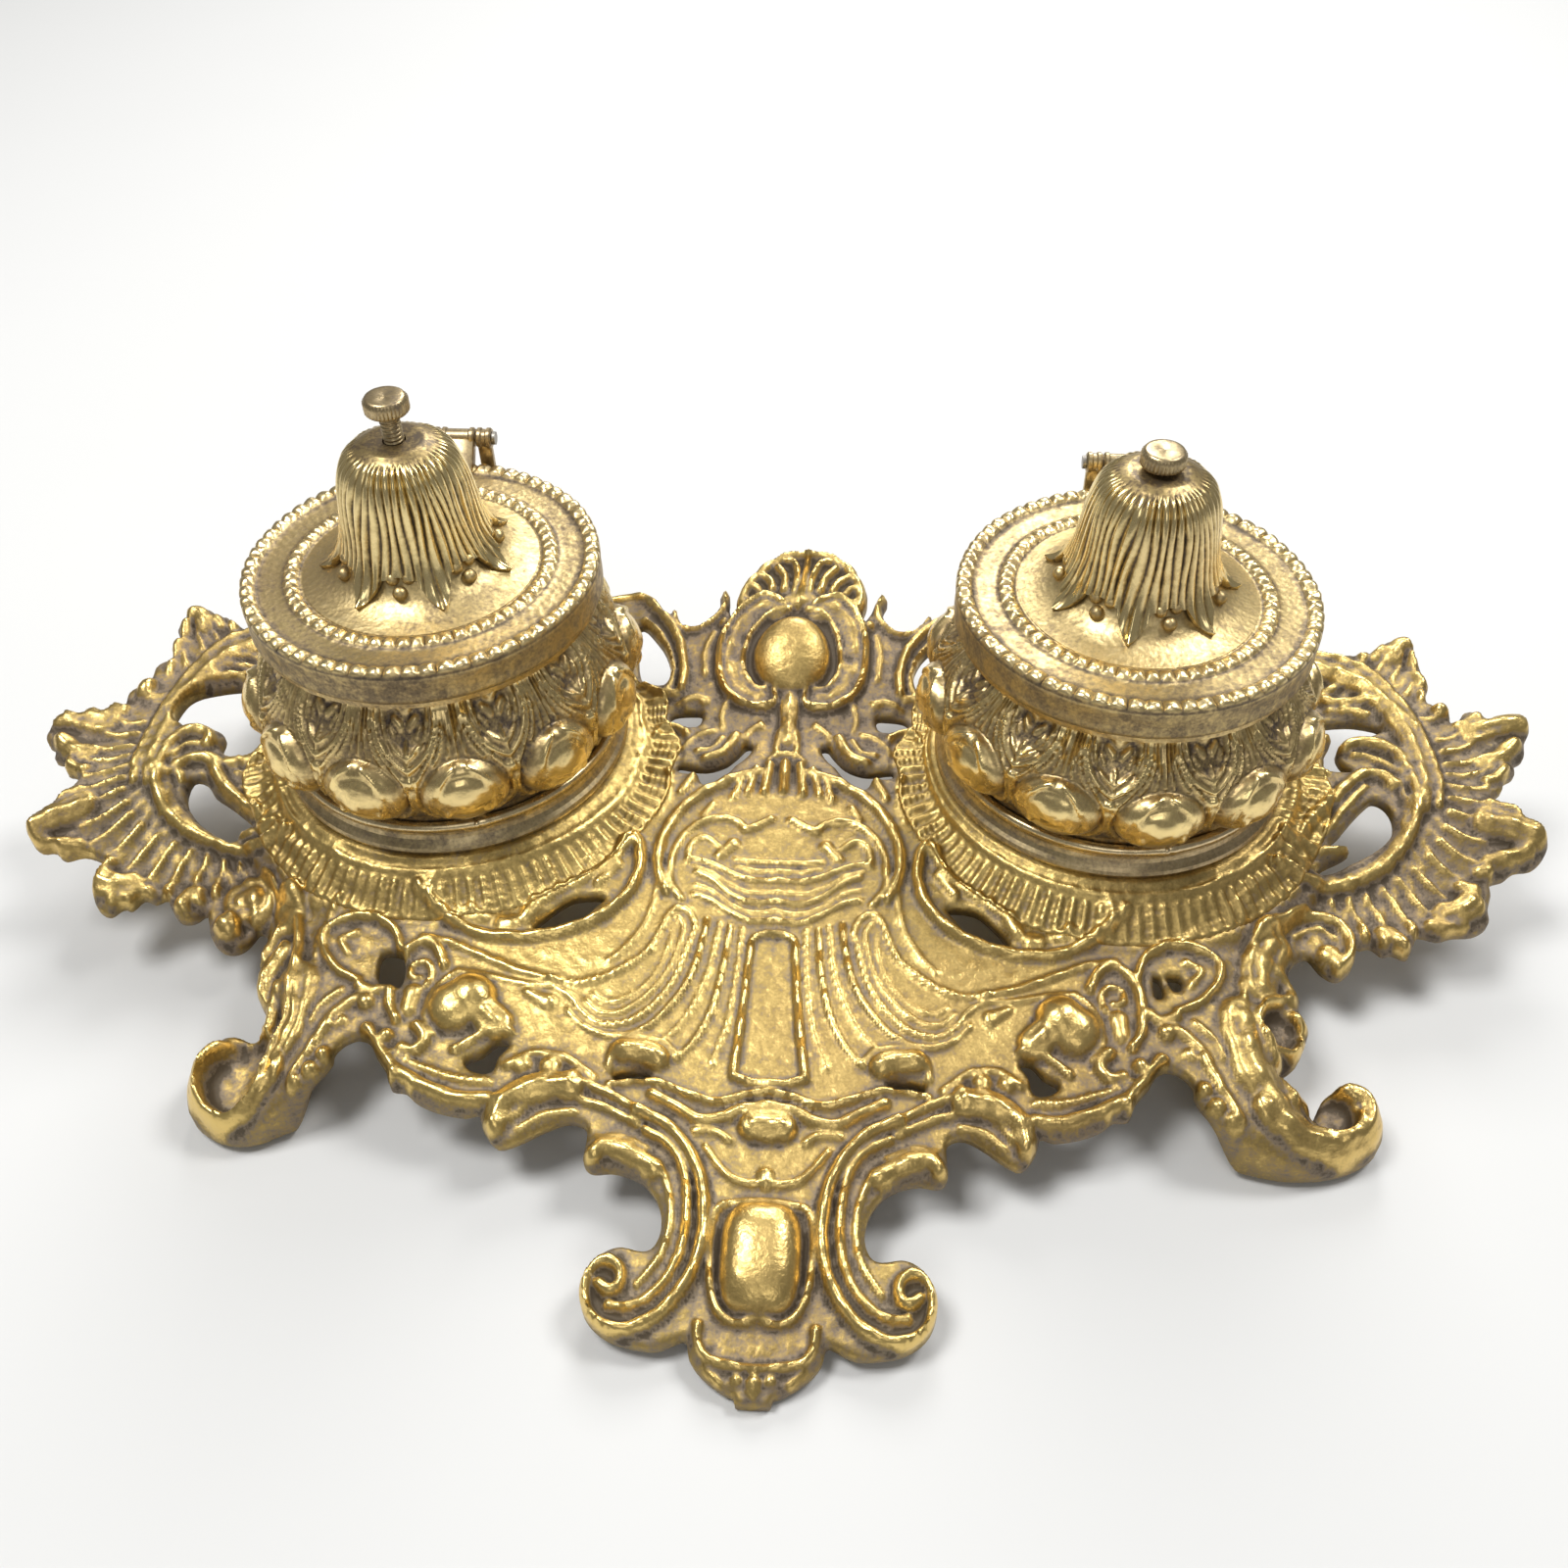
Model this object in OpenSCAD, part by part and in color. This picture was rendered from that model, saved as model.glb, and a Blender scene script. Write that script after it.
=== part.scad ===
// Desk inkstand with two hinged-lid pots on a pierced scrollwork stand.
// X runs across the stand, +Y to the back, +Z up, desk at z = 0.

/* [Overall] */
// Width of the stand across the wing tips, mm
stand_w = 328; // [300:1:360]
// Depth of the stand from the front leaf to the back feet, mm
stand_d = 185; // [172:1:204]
// Height of the pot seats above the desk, mm
seat_h = 30; // [27:0.5:36]
// Thickness of the cast plate, mm
plate_t = 3; // [2.5:0.1:4]
// Distance between the pot centres, mm
pot_gap = 142; // [136:1:148]

/* [Pots] */
// Diameter of the pot's belly, mm
belly_d = 79; // [74:1:84]
// Height of the pot from its foot to its rim, mm
pot_h = 31.3; // [28:0.1:36]
// Extra height of the left pot's neck, mm
left_lift = 3; // [0:0.5:4]
// Wall thickness of the pot, mm
pot_wall = 1.3; // [1:0.1:1.6]
// Number of gadroon lobes round the belly
lobes = 12; // [10:1:14]
// Height of the turned collar under the pot, mm
collar_h = 4.7; // [4:0.1:6]
// Thickness of the wire ring round the foot, mm
wire_d = 2.4; // [1.8:0.1:2.8]

/* [Lids] */
// Diameter of the lid, mm
lid_d = 71; // [69:0.5:74]
// Height of the lid's plain band, mm
lid_h = 6.8; // [6:0.1:8]
// Thickness of the lid's top plate, mm
lid_t = 1.6; // [1.2:0.1:2]
// Gap between the closed lid and the pot's rim, mm
lid_gap = 0.2; // [0.1:0.05:0.4]
// How far the lids open, degrees
lid_open = 105; // [80:1:110]
// Diameter of the inner ring of beading, mm
inner_ring_d = 51.2; // [48:0.2:54]

/* [Finials] */
// Height of the flower finial, mm
finial_h = 28; // [24:0.5:32]
// Diameter across the leaf tips, mm
finial_d = 39; // [36:0.5:42]
// Number of leaf tips
leaves = 7; // [6:1:10]
// Diameter of the knurled knob, mm
knob_d = 9.2; // [8:0.1:10]
// Height of the knurled knob, mm
knob_h = 4.2; // [3.5:0.1:5]
// Diameter of the knob's screw, mm
screw_d = 4; // [3.5:0.1:4.5]
// How far the left knob stands unscrewed, mm
left_raise = 5; // [0:0.5:5.5]
// Full travel of the knob in its nut, mm
knob_travel = 6; // [5.5:0.5:7]

/* [Hinges] */
// Width of the whole hinge barrel, mm
hinge_w = 14.5; // [13:0.5:17]
// Width of the lid's middle knuckle, mm
knuckle_w = 7.3; // [6:0.1:8]
// Diameter of the hinge barrel, mm
barrel_d = 4.4; // [4:0.1:5]
// Diameter of the hinge pin, mm
pin_d = 1.8; // [1.5:0.1:2.2]
// Running clearance of turning parts, mm
run = 0.05; // [0.03:0.01:0.08]
// Gap between knuckles, mm
side_gap = 0.3; // [0.2:0.05:0.5]

/* [Glass liners] */
// Outer diameter of the glass liner, mm
liner_d = 52; // [48:0.5:54]
// Wall of the glass liner, mm
liner_wall = 2.2; // [1.8:0.1:2.6]

/* [Fixings] */
// Diameter of the pot's fixing screw, mm
fix_d = 4; // [3.5:0.1:4.5]

/* [Hidden] */
$fn = 64;
kx = stand_w / 328;
ky = stand_d / 185;
y0 = 41.4 * ky;
px = pot_gap / 2;
kr = belly_d / 79;
kn = lid_d / 71;
kz = seat_h - 30;
pot_z = seat_h + collar_h;
rim_z = pot_z + pot_h;
lid_r = lid_d / 2;
lid_z = rim_z + lid_gap;
top_z = lid_z + lid_h;
rim_r = lid_r - 0.8;
liner_r = min(liner_d / 2, 31.2 * kn - pot_wall - 3.9);
mouth_r = liner_r + 0.8;
screw_r = screw_d / 2;
pin_r = pin_d / 2;
fix_r = fix_d / 2;
barrel_r = barrel_d / 2;
hinge_y = lid_r + barrel_r + 0.9;
hinge_z = top_z + 4.8;
nut_h = 3;
base_in = pot_wall + 0.2;
liner_z = pot_z + base_in + 4;
disc_r = 6;

brass = [0.74, 0.58, 0.28];
dark_brass = [0.52, 0.41, 0.24];
steel = [0.6, 0.6, 0.58];
glass = [0.75, 0.82, 0.8, 0.4];

// ---------- helpers ----------
function clamp(v, a, b) = max(a, min(b, v));
function sm(t) = let (c = clamp(t, 0, 1)) c * c * (3 - 2 * c);
// Smooth curve through a list of control points, n steps a span.
function crv(p, n) = let (m = len(p)) concat(
  [for (i = [0 : m - 2]) for (j = [0 : n - 1])
    let (a = p[max(i - 1, 0)], b = p[i], c = p[i + 1], d = p[min(i + 2, m - 1)], t = j / n)
    0.5 * (2 * b + (c - a) * t + (2 * a - 5 * b + 4 * c - d) * t * t
      + (3 * b - a - 3 * c + d) * t * t * t)],
  [p[m - 1]]);
// Height of the stand's top surface over plan point x, y (nominal plan).
function land(x, y) = let (u = abs(x))
  seat_h - 2
  + (y > 0 ? 0.17 * y * sm((u - 115) / 20) : -(seat_h - 2 - plate_t)
    * pow(max(0, -y - 5) / 129, 1.25))
  + 1.5 * sm((u - 120) / 30)
  - 7 * sm((-y - 10) / 25) * sm((u - 85) / 25)
  + 15 * sm(y / 45) * exp(-pow(u / 40, 2));
function at(p, dz) = [p[0] * kx, p[1] * ky, land(p[0], p[1]) + dz];

module both() { children(); mirror([1, 0, 0]) children(); }
module ball(p, r, n = 8) { translate(p) sphere(r, $fn = n); }
// A rounded cord along plan points lying on the surface.
module cord(p, r, dz = 0, n = 4, r2 = -1) {
  e = r2 < 0 ? r : r2;
  m = len(p) - 1;
  for (i = [0 : m - 1]) hull() {
    ball(at(p[i], dz), r + (e - r) * i / m, n);
    ball(at(p[i + 1], dz), r + (e - r) * (i + 1) / m, n);
  }
}
module leaf(a, b, ra, rb, da = 0, db = 0) {
  hull() { ball(at(a, da), ra, 6); ball(at(b, db), rb, 4); }
}
function unit(v) = v / max(norm(v), 0.001);
function side(p, i) = let (d = unit(p[min(i + 1, len(p) - 1)] - p[max(i - 1, 0)])) [-d[1], d[0]];
// Flat band of even width along a line.
module strip(p, w) {
  m = len(p) - 1;
  polygon(concat([for (i = [0 : m]) p[i] + side(p, i) * w / 2],
    [for (i = [m : -1 : 0]) p[i] - side(p, i) * w / 2]));
}
module drop(a, b, ra, rb) {
  hull() { translate(a) circle(ra, $fn = 6); translate(b) circle(rb, $fn = 5); }
}

// ---------- the stand ----------
ring_line = crv([[px / kx + 29, 36], [113, 37], [125, 34], [137, 26], [142.5, 13], [143, 0], [138, -13],
  [130, -24], [119, -31.5], [px / kx + 33, -36]], 2);
apron_line = crv([[46, -83], [36, -79], [25, -80.5], [17, -86], [12.4, -93], [11, -102],
  [12.2, -111], [16.5, -117.6], [22.5, -120.6], [28.5, -118.5], [31, -113.5], [28.6, -109],
  [24.6, -110.4]], 1);
dish_line = crv([[26, -31], [29.5, -28], [33, -32], [38, -41], [48, -47], [60, -49.5], [72, -47]], 1);
cord_line = crv([[72, -51], [62, -54.5], [50, -58], [38, -58.5], [28, -53], [20, -42]], 1);
rail_line = crv([[77, -70.5], [66, -74], [56, -77.5], [46, -79.5], [36, -76.5]], 1);
front_line = crv([[36, -76], [27, -76.5], [18, -80], [8, -79.5], [0, -77.5]], 1);
crest_line = crv([[px / kx - 18, 42], [41, 38], [31, 30], [25.5, 22], [27, 15], [33, 13]], 1);
inner_leaf = crv([[139, 3], [131, 0], [123, -7], [116, -17], [109, -27]], 1);
inner_hook = crv([[140, 12], [136, 19], [129, 20], [124, 16]], 1);

module outline_half() {
  translate([px / kx, 0]) circle(48.5 * kr, $fn = 28);
  // middle field, tray and stem
  polygon(concat([[-0.5, 30], [12, 38], [26, 26], [40, 34], [50, 10], [60, -40]],
    [[92, -38], [95, -52], [91, -66], [77, -73]], [[56, -80], [42, -83], [30, -82]],
    [[14, -88], [12, -100], [14, -116], [10, -124], [5, -130], [-0.5, -134]]));
  // wing ring with its fringe
  strip(ring_line, 8);
  drop([138, -13], [161, -19], 7, 2.4);
  drop([140, 2], [163, 2.6], 7, 1);
  drop([140, 3], [156, 12], 6, 2);
  drop([138, 24], [146, 37], 6, 2.6);
  drop([142, 12], [150, 18], 5, 2);
  drop([134, -22], [143.5, -36], 7, 2.4);
  drop([138, -17], [154, -27], 6, 2);
  drop([124, -32], [126.5, -41], 7, 2.5);
  drop([112, -37], [114, -45], 6, 3.5);
  drop([128, -30], [135, -39], 6, 2.4);
  strip(inner_leaf, 5);
  strip(inner_hook, 4.4);
  drop([124, 17], [126, 17], 3.2, 3);
  drop([102, -36], [99, -52], 9, 8);
  // apron scrolls and leaves
  strip(apron_line, 7.4);
  drop([17, -88], [31, -93.5], 6, 2.6);
  drop([9, -122], [9.5, -124], 3, 3);
  translate([46, -82]) circle(4.5, $fn = 8);
  translate([57, -66]) circle(9, $fn = 12);
  // crest scroll
  strip(crest_line, 5);
  translate([0, 18]) circle(18, $fn = 20);
  for (a = [0, 28, 60]) drop([sin(a) * 4, 22 + cos(a) * 6],
    [sin(a) * 15.5, 26.5 + cos(a) * 15], 6, 2.6);
}
module piercings_half() {
  translate([32.3, 20]) scale([1, 1]) drop([-1.6, -2.2], [1.6, 3.6], 2.8, 1.8);
  drop([19, 7.4], [24, 7.2], 1.8, 1.5);
  drop([9.5, -2.4], [15.5, -8], 1.5, 1.7);
  drop([17, -8.6], [22, -7.5], 1.4, 1);
  drop([37, -41.5], [46, -46.2], 1.7, 1.2);
  drop([77.3, -54], [77.2, -58.2], 1.9, 1.9);
  drop([51, -73.6], [55, -74.4], 1.7, 1.2);
  drop([24.5, -75.6], [28.5, -75.2], 1, 0.9);
  difference() {
    polygon([[116, 27], [125, 24], [132.5, 15], [135.5, 4], [130, 4.5], [124, -1.5],
      [120.5, -3.8], [119.6, 4], [117.4, 15]]);
    strip(inner_hook, 4.4);
    translate([125, 17]) circle(3.4, $fn = 14);
  }
  polygon([[128.5, -9.5], [131.5, -12.5], [126, -21], [118.5, -26.5], [112, -29.4],
    [117.5, -22.5], [122, -15]]);
}
// The cast plate: a thin sheet on the land surface, cut to the plan outline.
cell = 17.5;
gx0 = -175; gx1 = 175; gy0 = -140; gy1 = 70;
nx = (gx1 - gx0) / cell;
ny = (gy1 - gy0) / cell;
module sheet() {
  top = [for (j = [0 : ny]) for (i = [0 : nx]) at([gx0 + i * cell, gy0 + j * cell], 0)];
  low = [for (p = top) [p[0], p[1], p[2] - plate_t]];
  m = (nx + 1) * (ny + 1);
  function q(i, j) = j * (nx + 1) + i;
  polyhedron(points = concat(top, low), faces = concat(
    [for (j = [0 : ny - 1]) for (i = [0 : nx - 1]) [q(i, j), q(i, j + 1), q(i + 1, j + 1)]],
    [for (j = [0 : ny - 1]) for (i = [0 : nx - 1]) [q(i, j), q(i + 1, j + 1), q(i + 1, j)]],
    [for (j = [0 : ny - 1]) for (i = [0 : nx - 1]) [m + q(i, j), m + q(i + 1, j + 1), m + q(i, j + 1)]],
    [for (j = [0 : ny - 1]) for (i = [0 : nx - 1]) [m + q(i, j), m + q(i + 1, j), m + q(i + 1, j + 1)]],
    [for (i = [0 : nx - 1]) [q(i, 0), q(i + 1, 0), m + q(i + 1, 0), m + q(i, 0)]],
    [for (i = [0 : nx - 1]) [q(i + 1, ny), q(i, ny), m + q(i, ny), m + q(i + 1, ny)]],
    [for (j = [0 : ny - 1]) [q(0, j + 1), q(0, j), m + q(0, j), m + q(0, j + 1)]],
    [for (j = [0 : ny - 1]) [q(nx, j), q(nx, j + 1), m + q(nx, j + 1), m + q(nx, j)]]));
}
module plate() {
  intersection() {
    sheet();
    translate([0, 0, -20]) linear_extrude(120) scale([kx, ky]) difference() {
      union() { outline_half(); mirror([1, 0]) outline_half(); }
      piercings_half();
      mirror([1, 0]) piercings_half();
      for (s = [-1, 1]) translate([s * px / kx, 0]) scale([1 / kx, 1 / ky]) circle(36 * kr, $fn = 24);
    }
  }
}
module seat() {
  translate([px, 0, seat_h - 7.5]) cylinder(h = 7.5, r1 = 48.3 * kr, r2 = 38 * kr, $fn = 32);
}
// Leg points above the feet follow the seats.
function leg_at(p) = [p[0] * kx, p[1] * ky, p[2] + kz * sm((p[2] - 5) / 15)];
module front_leg() {
  leg = [[98, -48, 15], [98, -57, 15], [100, -67, 13], [104, -76, 8.4], [109, -82.5, 4.6],
    [114, -81, 4.4], [115.5, -76, 7.5], [112, -73.5, 10]];
  wid = [8.5, 7.6, 7, 6.6, 6, 4.2, 3.6, 3];
  for (i = [0 : len(leg) - 2]) hull() {
    ball(leg_at(leg[i]), wid[i], 8);
    ball(leg_at(leg[i + 1]), wid[i + 1], 8);
  }
  // inner web of the leg towards the front rail
  hull() {
    ball(leg_at([92, -62, 14]), 4, 8);
    ball(leg_at([84, -72, 12]), 3, 8);
    ball(leg_at([102, -80, 6]), 4, 8);
  }
  leaf([100, -50], [106.5, -59], 5, 2, 0, 0);
}
module back_leg() {
  leg = [[88, 36, 26], [90, 42, 20], [91, 46, 12], [90, 47, 5], [86, 47, 4]];
  for (i = [0 : len(leg) - 2]) hull() {
    ball(leg_at(leg[i]), 5 - 0.2 * i, 8);
    ball(leg_at(leg[i + 1]), 4.8 - 0.2 * i, 8);
  }
}
module relief_half() {
  cord(ring_line, 2.2, 1.2);
  cord(apron_line, 1.6, 0.8);
  cord(dish_line, 1.3, 0.9);
  cord(cord_line, 1.1, 0.5);
  cord(rail_line, 1.7, 0.9);
  cord(front_line, 1.2, 0.6);
  cord(crest_line, 1.5, 0.6);
  cord(inner_leaf, 1.6, 0.8);
  cord(inner_hook, 1.5, 0.6);
  // leaf tips of the wing
  leaf([141, -14], [161, -19], 4, 1.8, 0, -1.2);
  leaf([143, 2], [163, 2.6], 4, 0.9, 0, -0.2);
  leaf([141, 25], [146, 37], 3.6, 2, 0, 0.8);
  leaf([138, -24], [143.5, -36], 4, 2);
  leaf([125, -34], [126.5, -41], 3.6, 2);
  leaf([130, -31], [135, -39], 3, 1.8);
  ball(at([115, -45], 0), 4, 8);
  ball(at([125, 17], 0.4), 3, 8);
  // lobes and cartouches of the front
  ball(at([57, -65], -2.2), 8.2, 10);
  ball(at([67, -58], -0.8), 3.6, 8);
  ball(at([45, -81], -0.2), 3.8, 8);
  leaf([22, -77.6], [30, -76.8], 2.2, 2.2, 0.4, 0.4);
  leaf([19, -89], [31, -93.5], 3.2, 1.9, 0, 2.4);
  ball(at([26.5, -113.5], 0.8), 3.2, 8);
  // shell ribs of the tray
  for (k = [0 : 2]) let (a = 5 + k * 6.2, b = 7 + k * 9)
    cord([[a * 0.45 + 1, -44], [a * 0.6, -54], [a * 0.9, -64], [b * 0.92, -70 + k * 3.2]], 1, 0.2);
  // hood arch
  cord([for (a = [0 : 27 : 108]) [22 * sin(a), -30 + 21 * cos(a)]], 1.2, 0.7);
  // crest palmette
  for (a = [0, 28, 60]) leaf([sin(a) * 6, 24 + cos(a) * 6], [sin(a) * 15.5, 26.5 + cos(a) * 15],
    3.4, 2, 0, 0.6);
  ball(at([6, 31.5], -0.6), 2.6, 6);
  cord([for (a = [-15 : 30 : 180]) [15.2 * sin(a), 18 + 15.2 * cos(a)]], 1.5, 0.6);
}
module base_casting() {
  color(brass) translate([0, y0, 0]) difference() {
    union() {
      plate();
      both() {
        seat();
        front_leg();
        back_leg();
        relief_half();
      }
      // crest dome, upper boss, apron cabochon and bottom leaf
      ball(at([0, 18], -3.2), 11.5, 16);
      leaf([-4.5, -86], [4.5, -86], 4.4, 4.4, 0, 0);
      hull() for (x = [-3, 3]) for (y = [-103.5, -111]) ball(at([x, y], -0.4), 4.4, 10);
      leaf([0, -120], [0, -131.5], 5, 1.8, 0, 0);
      leaf([0, -119], [8.5, -124], 3.6, 1.8, 0, 0);
      leaf([0, -119], [-8.5, -124], 3.6, 1.8, 0, 0);
      leaf([0, -19], [0, -9], 3.4, 2.2, 0, 0);
    }
    // flat feet, flat seats, screw holes and room for the nuts
    translate([-200, -200, -40]) cube([400, 400, 40]);
    both() {
      translate([px, 0, seat_h]) cylinder(h = 30, r = 38.2 * kr, $fn = 32);
      translate([px, 0, 0]) cylinder(h = 60, r = fix_r + 0.25, $fn = 32);
      translate([px, 0, seat_h - plate_t - 9]) cylinder(h = 9, r = 36.5 * kr, $fn = 32);
    }
  }
}

// ---------- pots ----------
function lifted(z, e) = z + e * clamp((z - 14) / 12, 0, 1);
pot_line = crv([[33.4, 0], [33.6, 1.9], [35, 3.4], [37.4, 5.6], [39, 8.6], [39.5, 12],
  [39.3, 15.3], [38.2, 18.8], [36.2, 22.2], [33.6, 25.2], [31.8, 27.2], [31.2, 28.4]], 3);
// The belly follows its own diameter, the neck follows the lid.
function width_at(z) = kr + (kn - kr) * sm((z - 14) / 12);
// Lobes stay clear of the foot wire.
lobe_z = 12 * pot_h / 31.3;
lobe_r = min(9 * kr, lobe_z - 2.9);
module pot_solid(e, inset, low) {
  rotate_extrude() polygon(concat([[0, low]],
    [for (p = pot_line) [p[0] * width_at(p[1]) - inset, lifted(max(p[1], low) * pot_h / 31.3, e)]],
    [[rim_r - 1.6 - inset, lifted(pot_h - 1.9, e)], [rim_r - inset, lifted(pot_h - 1.2, e)],
     [rim_r - inset, lifted(pot_h, e)], [0, lifted(pot_h, e)]]));
}
module pot(e) {
  difference() {
    union() {
      pot_solid(e, 0, 0);
      for (i = [0 : lobes - 1]) rotate([0, 0, (i + 0.5) * 360 / lobes])
        translate([40.2 * kr - lobe_r, 0, lobe_z]) sphere(lobe_r);
    }
    difference() {
      pot_solid(e, pot_wall, base_in);
      translate([0, 0, lifted(pot_h, e) - 2.6]) cylinder(h = 5, r = 60);
    }
    translate([0, 0, lifted(pot_h, e) - 4]) cylinder(h = 6, r = mouth_r);
    translate([0, 0, -1]) cylinder(h = 6, r = fix_r + 0.2);
  }
}
module collar() {
  rotate_extrude() scale([kr, 1]) polygon([[29, 0], [37, 0], [37.2, 0.8], [36.9, 1.5],
    [36.2, 2.1], [35.6, 2.9], [35.3, 3.8], [35.2, collar_h - 0.1], [29, collar_h - 0.1]]);
}
// Wire ring with its open butt joint at the front.
module foot_wire() {
  wr = 33.7 * kr + wire_d / 2 + 0.15;
  translate([0, 0, wire_d / 2]) rotate([0, 0, -89]) rotate_extrude(angle = 358)
    translate([wr, 0]) circle(wire_d / 2, $fn = 24);
}
module liner(e) {
  h = lifted(pot_h, e) - base_in - 4 + 1.4;
  or = liner_r;
  rotate_extrude() polygon([[0, 0], [or - 2, 0], [or - 0.6, 0.5], [or, 1.8], [or, h - 1.4],
    [or + 3.4, h - 1.4], [or + 3.4, h], [or - liner_wall, h], [or - liner_wall, 3.4],
    [or - liner_wall - 0.8, 2.6], [0, 2.4]]);
}

// ---------- lids ----------
module lid() {
  difference() {
    union() {
      cylinder(h = lid_h, r = lid_r);
      translate([0, 0, lid_h]) rotate_extrude() translate([lid_r - 1.3, 0]) circle(1.1, $fn = 20);
      translate([0, 0, lid_h]) rotate_extrude() translate([inner_ring_d / 2, 0]) circle(0.9, $fn = 20);
    }
    translate([0, 0, -1]) cylinder(h = lid_h - lid_t + 1, r = lid_r - 1.5);
    translate([0, 0, -1]) cylinder(h = lid_h + 4, r = screw_r + run + 0.05);
    // flat for the hinge leaf
    translate([-hinge_w / 2 + 2.6, lid_r - 5.2, lid_h]) cube([hinge_w - 5.2, 8, 4]);
  }
}
module finial() {
  fr = finial_d / 2;
  k = finial_h / 28;
  bell = crv([[fr, 0], [fr - 1.6, 1.2], [fr - 3.6, 3.2], [fr - 5.2, 6.6], [fr - 6.2, 11],
    [fr - 6.6, 16], [fr - 7.2, 20.4], [fr - 8.6, 24], [fr - 11, 26.4], [disc_r, 27.2]], 3);
  difference() {
    union() {
      rotate_extrude() polygon(concat([[0, 0]], [for (p = bell) [p[0], p[1] * k]],
        [[disc_r, 28 * k], [0, 28 * k]]));
    }
    translate([0, 0, -1]) cylinder(h = finial_h + 2, r = screw_r + run + 0.05);
    // gaps between the leaf tips
    for (i = [0 : leaves - 1]) rotate([0, 0, (i + 0.5) * 360 / leaves]) {
      translate([fr - 4.9, 0, -1]) rotate([0, 0, -45]) cube([12, 12, 5.2 * k]);
      translate([fr - 4.3, 0, 4.2 * k]) sphere(3.2, $fn = 28);
    }
  }
  for (i = [0 : leaves - 1]) rotate([0, 0, (i + 0.5) * 360 / leaves])
    for (d = [-1, 0, 1]) translate([fr - 6.3 + 0.6 * (1 - abs(d)), d * 2.1, 1.7 + 1.6 * (1 - abs(d))])
      sphere(1.7, $fn = 20);
}
// Knurled knob with its screw; z = 0 is the underside of the knob.
module knob() {
  difference() {
    rotate_extrude() polygon([[0, 0], [knob_d / 2 - 0.5, 0], [knob_d / 2, 0.5],
      [knob_d / 2, knob_h - 1], [knob_d / 2 - 0.9, knob_h - 0.2], [0, knob_h]]);
    for (i = [0 : 23]) rotate([0, 0, i * 15]) translate([knob_d / 2 + 0.25, 0, 0.4])
      cylinder(h = knob_h - 1.6, r = 0.5, $fn = 14);
  }
  translate([0, 0, -finial_h - lid_t - nut_h - knob_travel + 0.6])
    cylinder(h = finial_h + lid_t + nut_h + knob_travel, r = screw_r);
}
module lid_nut() {
  difference() {
    union() {
      cylinder(h = nut_h - 0.8, r = 5, $fn = 48);
      translate([0, 0, nut_h - 0.8]) cylinder(h = 0.8, r = 7);
    }
    translate([0, 0, -1]) cylinder(h = nut_h + 2, r = screw_r + run);
    for (s = [-1, 1]) translate([s * 4.4 - 5, -5.2, -1]) translate([s * 4, 0, 0])
      cube([10, 10.4, nut_h + 0.2]);
  }
}

// ---------- hinges ----------
// Pot half: bracket on the neck, two leaves and two outer knuckles.
module pot_hinge(e) {
  dz = hinge_z - pot_z;
  rimh = pot_h;
  difference() {
    union() {
      translate([-hinge_w / 2, 26, rimh - 7]) cube([hinge_w, hinge_y - 26 + 0.4, 5.6]);
      for (s = [-1, 1]) translate([s * (hinge_w + knuckle_w + 2 * side_gap) / 4, 0, 0]) {
        w = (hinge_w - knuckle_w - 2 * side_gap) / 2;
        translate([-w / 2, hinge_y - 1.5, rimh - 7]) cube([w, 1.9, dz - rimh + 7]);
        translate([-w / 2, hinge_y, dz]) rotate([0, 90, 0]) cylinder(h = w, r = barrel_r, $fn = 40);
      }
    }
    translate([-hinge_w, hinge_y, dz]) rotate([0, 90, 0])
      cylinder(h = 2 * hinge_w, r = pin_r + 0.03, $fn = 40);
    translate([0, 0, -e]) pot_solid(e, -0.1, 0);
  }
}
// Lid half: leaf rising from the lid's edge to the middle knuckle.
module lid_hinge() {
  dz = hinge_z - top_z;
  w = knuckle_w;
  difference() {
    union() {
      translate([-w / 2, hinge_y, dz]) rotate([0, 90, 0]) cylinder(h = w, r = barrel_r, $fn = 40);
      translate([-w / 2, 0, 0]) rotate([90, 0, 90]) linear_extrude(w)
        polygon([[lid_r - 4.6, 0], [lid_r - 0.2, 0], [hinge_y - 0.2, dz - barrel_r + 0.1],
          [hinge_y - barrel_r + 0.2, dz + 0.6], [lid_r - 3, 2.6], [lid_r - 4.6, 1]]);
    }
    translate([-w, hinge_y, dz]) rotate([0, 90, 0]) cylinder(h = 2 * w, r = pin_r + run, $fn = 40);
  }
}
module hinge_pin() {
  translate([-hinge_w / 2 - 0.8, 0, 0]) rotate([0, 90, 0]) {
    translate([0, 0, 0.1]) cylinder(h = hinge_w + 1.4, r = pin_r, $fn = 40);
    cylinder(h = 0.7, r = pin_r + 0.5, $fn = 40);
    translate([0, 0, hinge_w + 0.9]) cylinder(h = 0.7, r = pin_r + 0.5, $fn = 40);
  }
}

// ---------- fixings ----------
module fixing_screw() {
  difference() {
    cylinder(h = 2.4, r = 4);
    translate([-0.5, -5, 1.4]) cube([1, 10, 2]);
  }
  translate([0, 0, -collar_h - base_in - plate_t - 5]) cylinder(h = collar_h + base_in + plate_t + 6, r = fix_r);
}
module fixing_washer() {
  difference() {
    cylinder(h = 1, r = 7);
    translate([0, 0, -1]) cylinder(h = 3, r = fix_r + 0.15);
  }
}
module fixing_nut() {
  difference() {
    intersection() {
      cylinder(h = 3.2, r = 4.2);
      for (i = [0]) linear_extrude(3.2) polygon([for (a = [30 : 60 : 330]) 4.2 * [cos(a), sin(a)]]);
    }
    translate([0, 0, -1]) cylinder(h = 6, r = fix_r + 0.04);
  }
}

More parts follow.
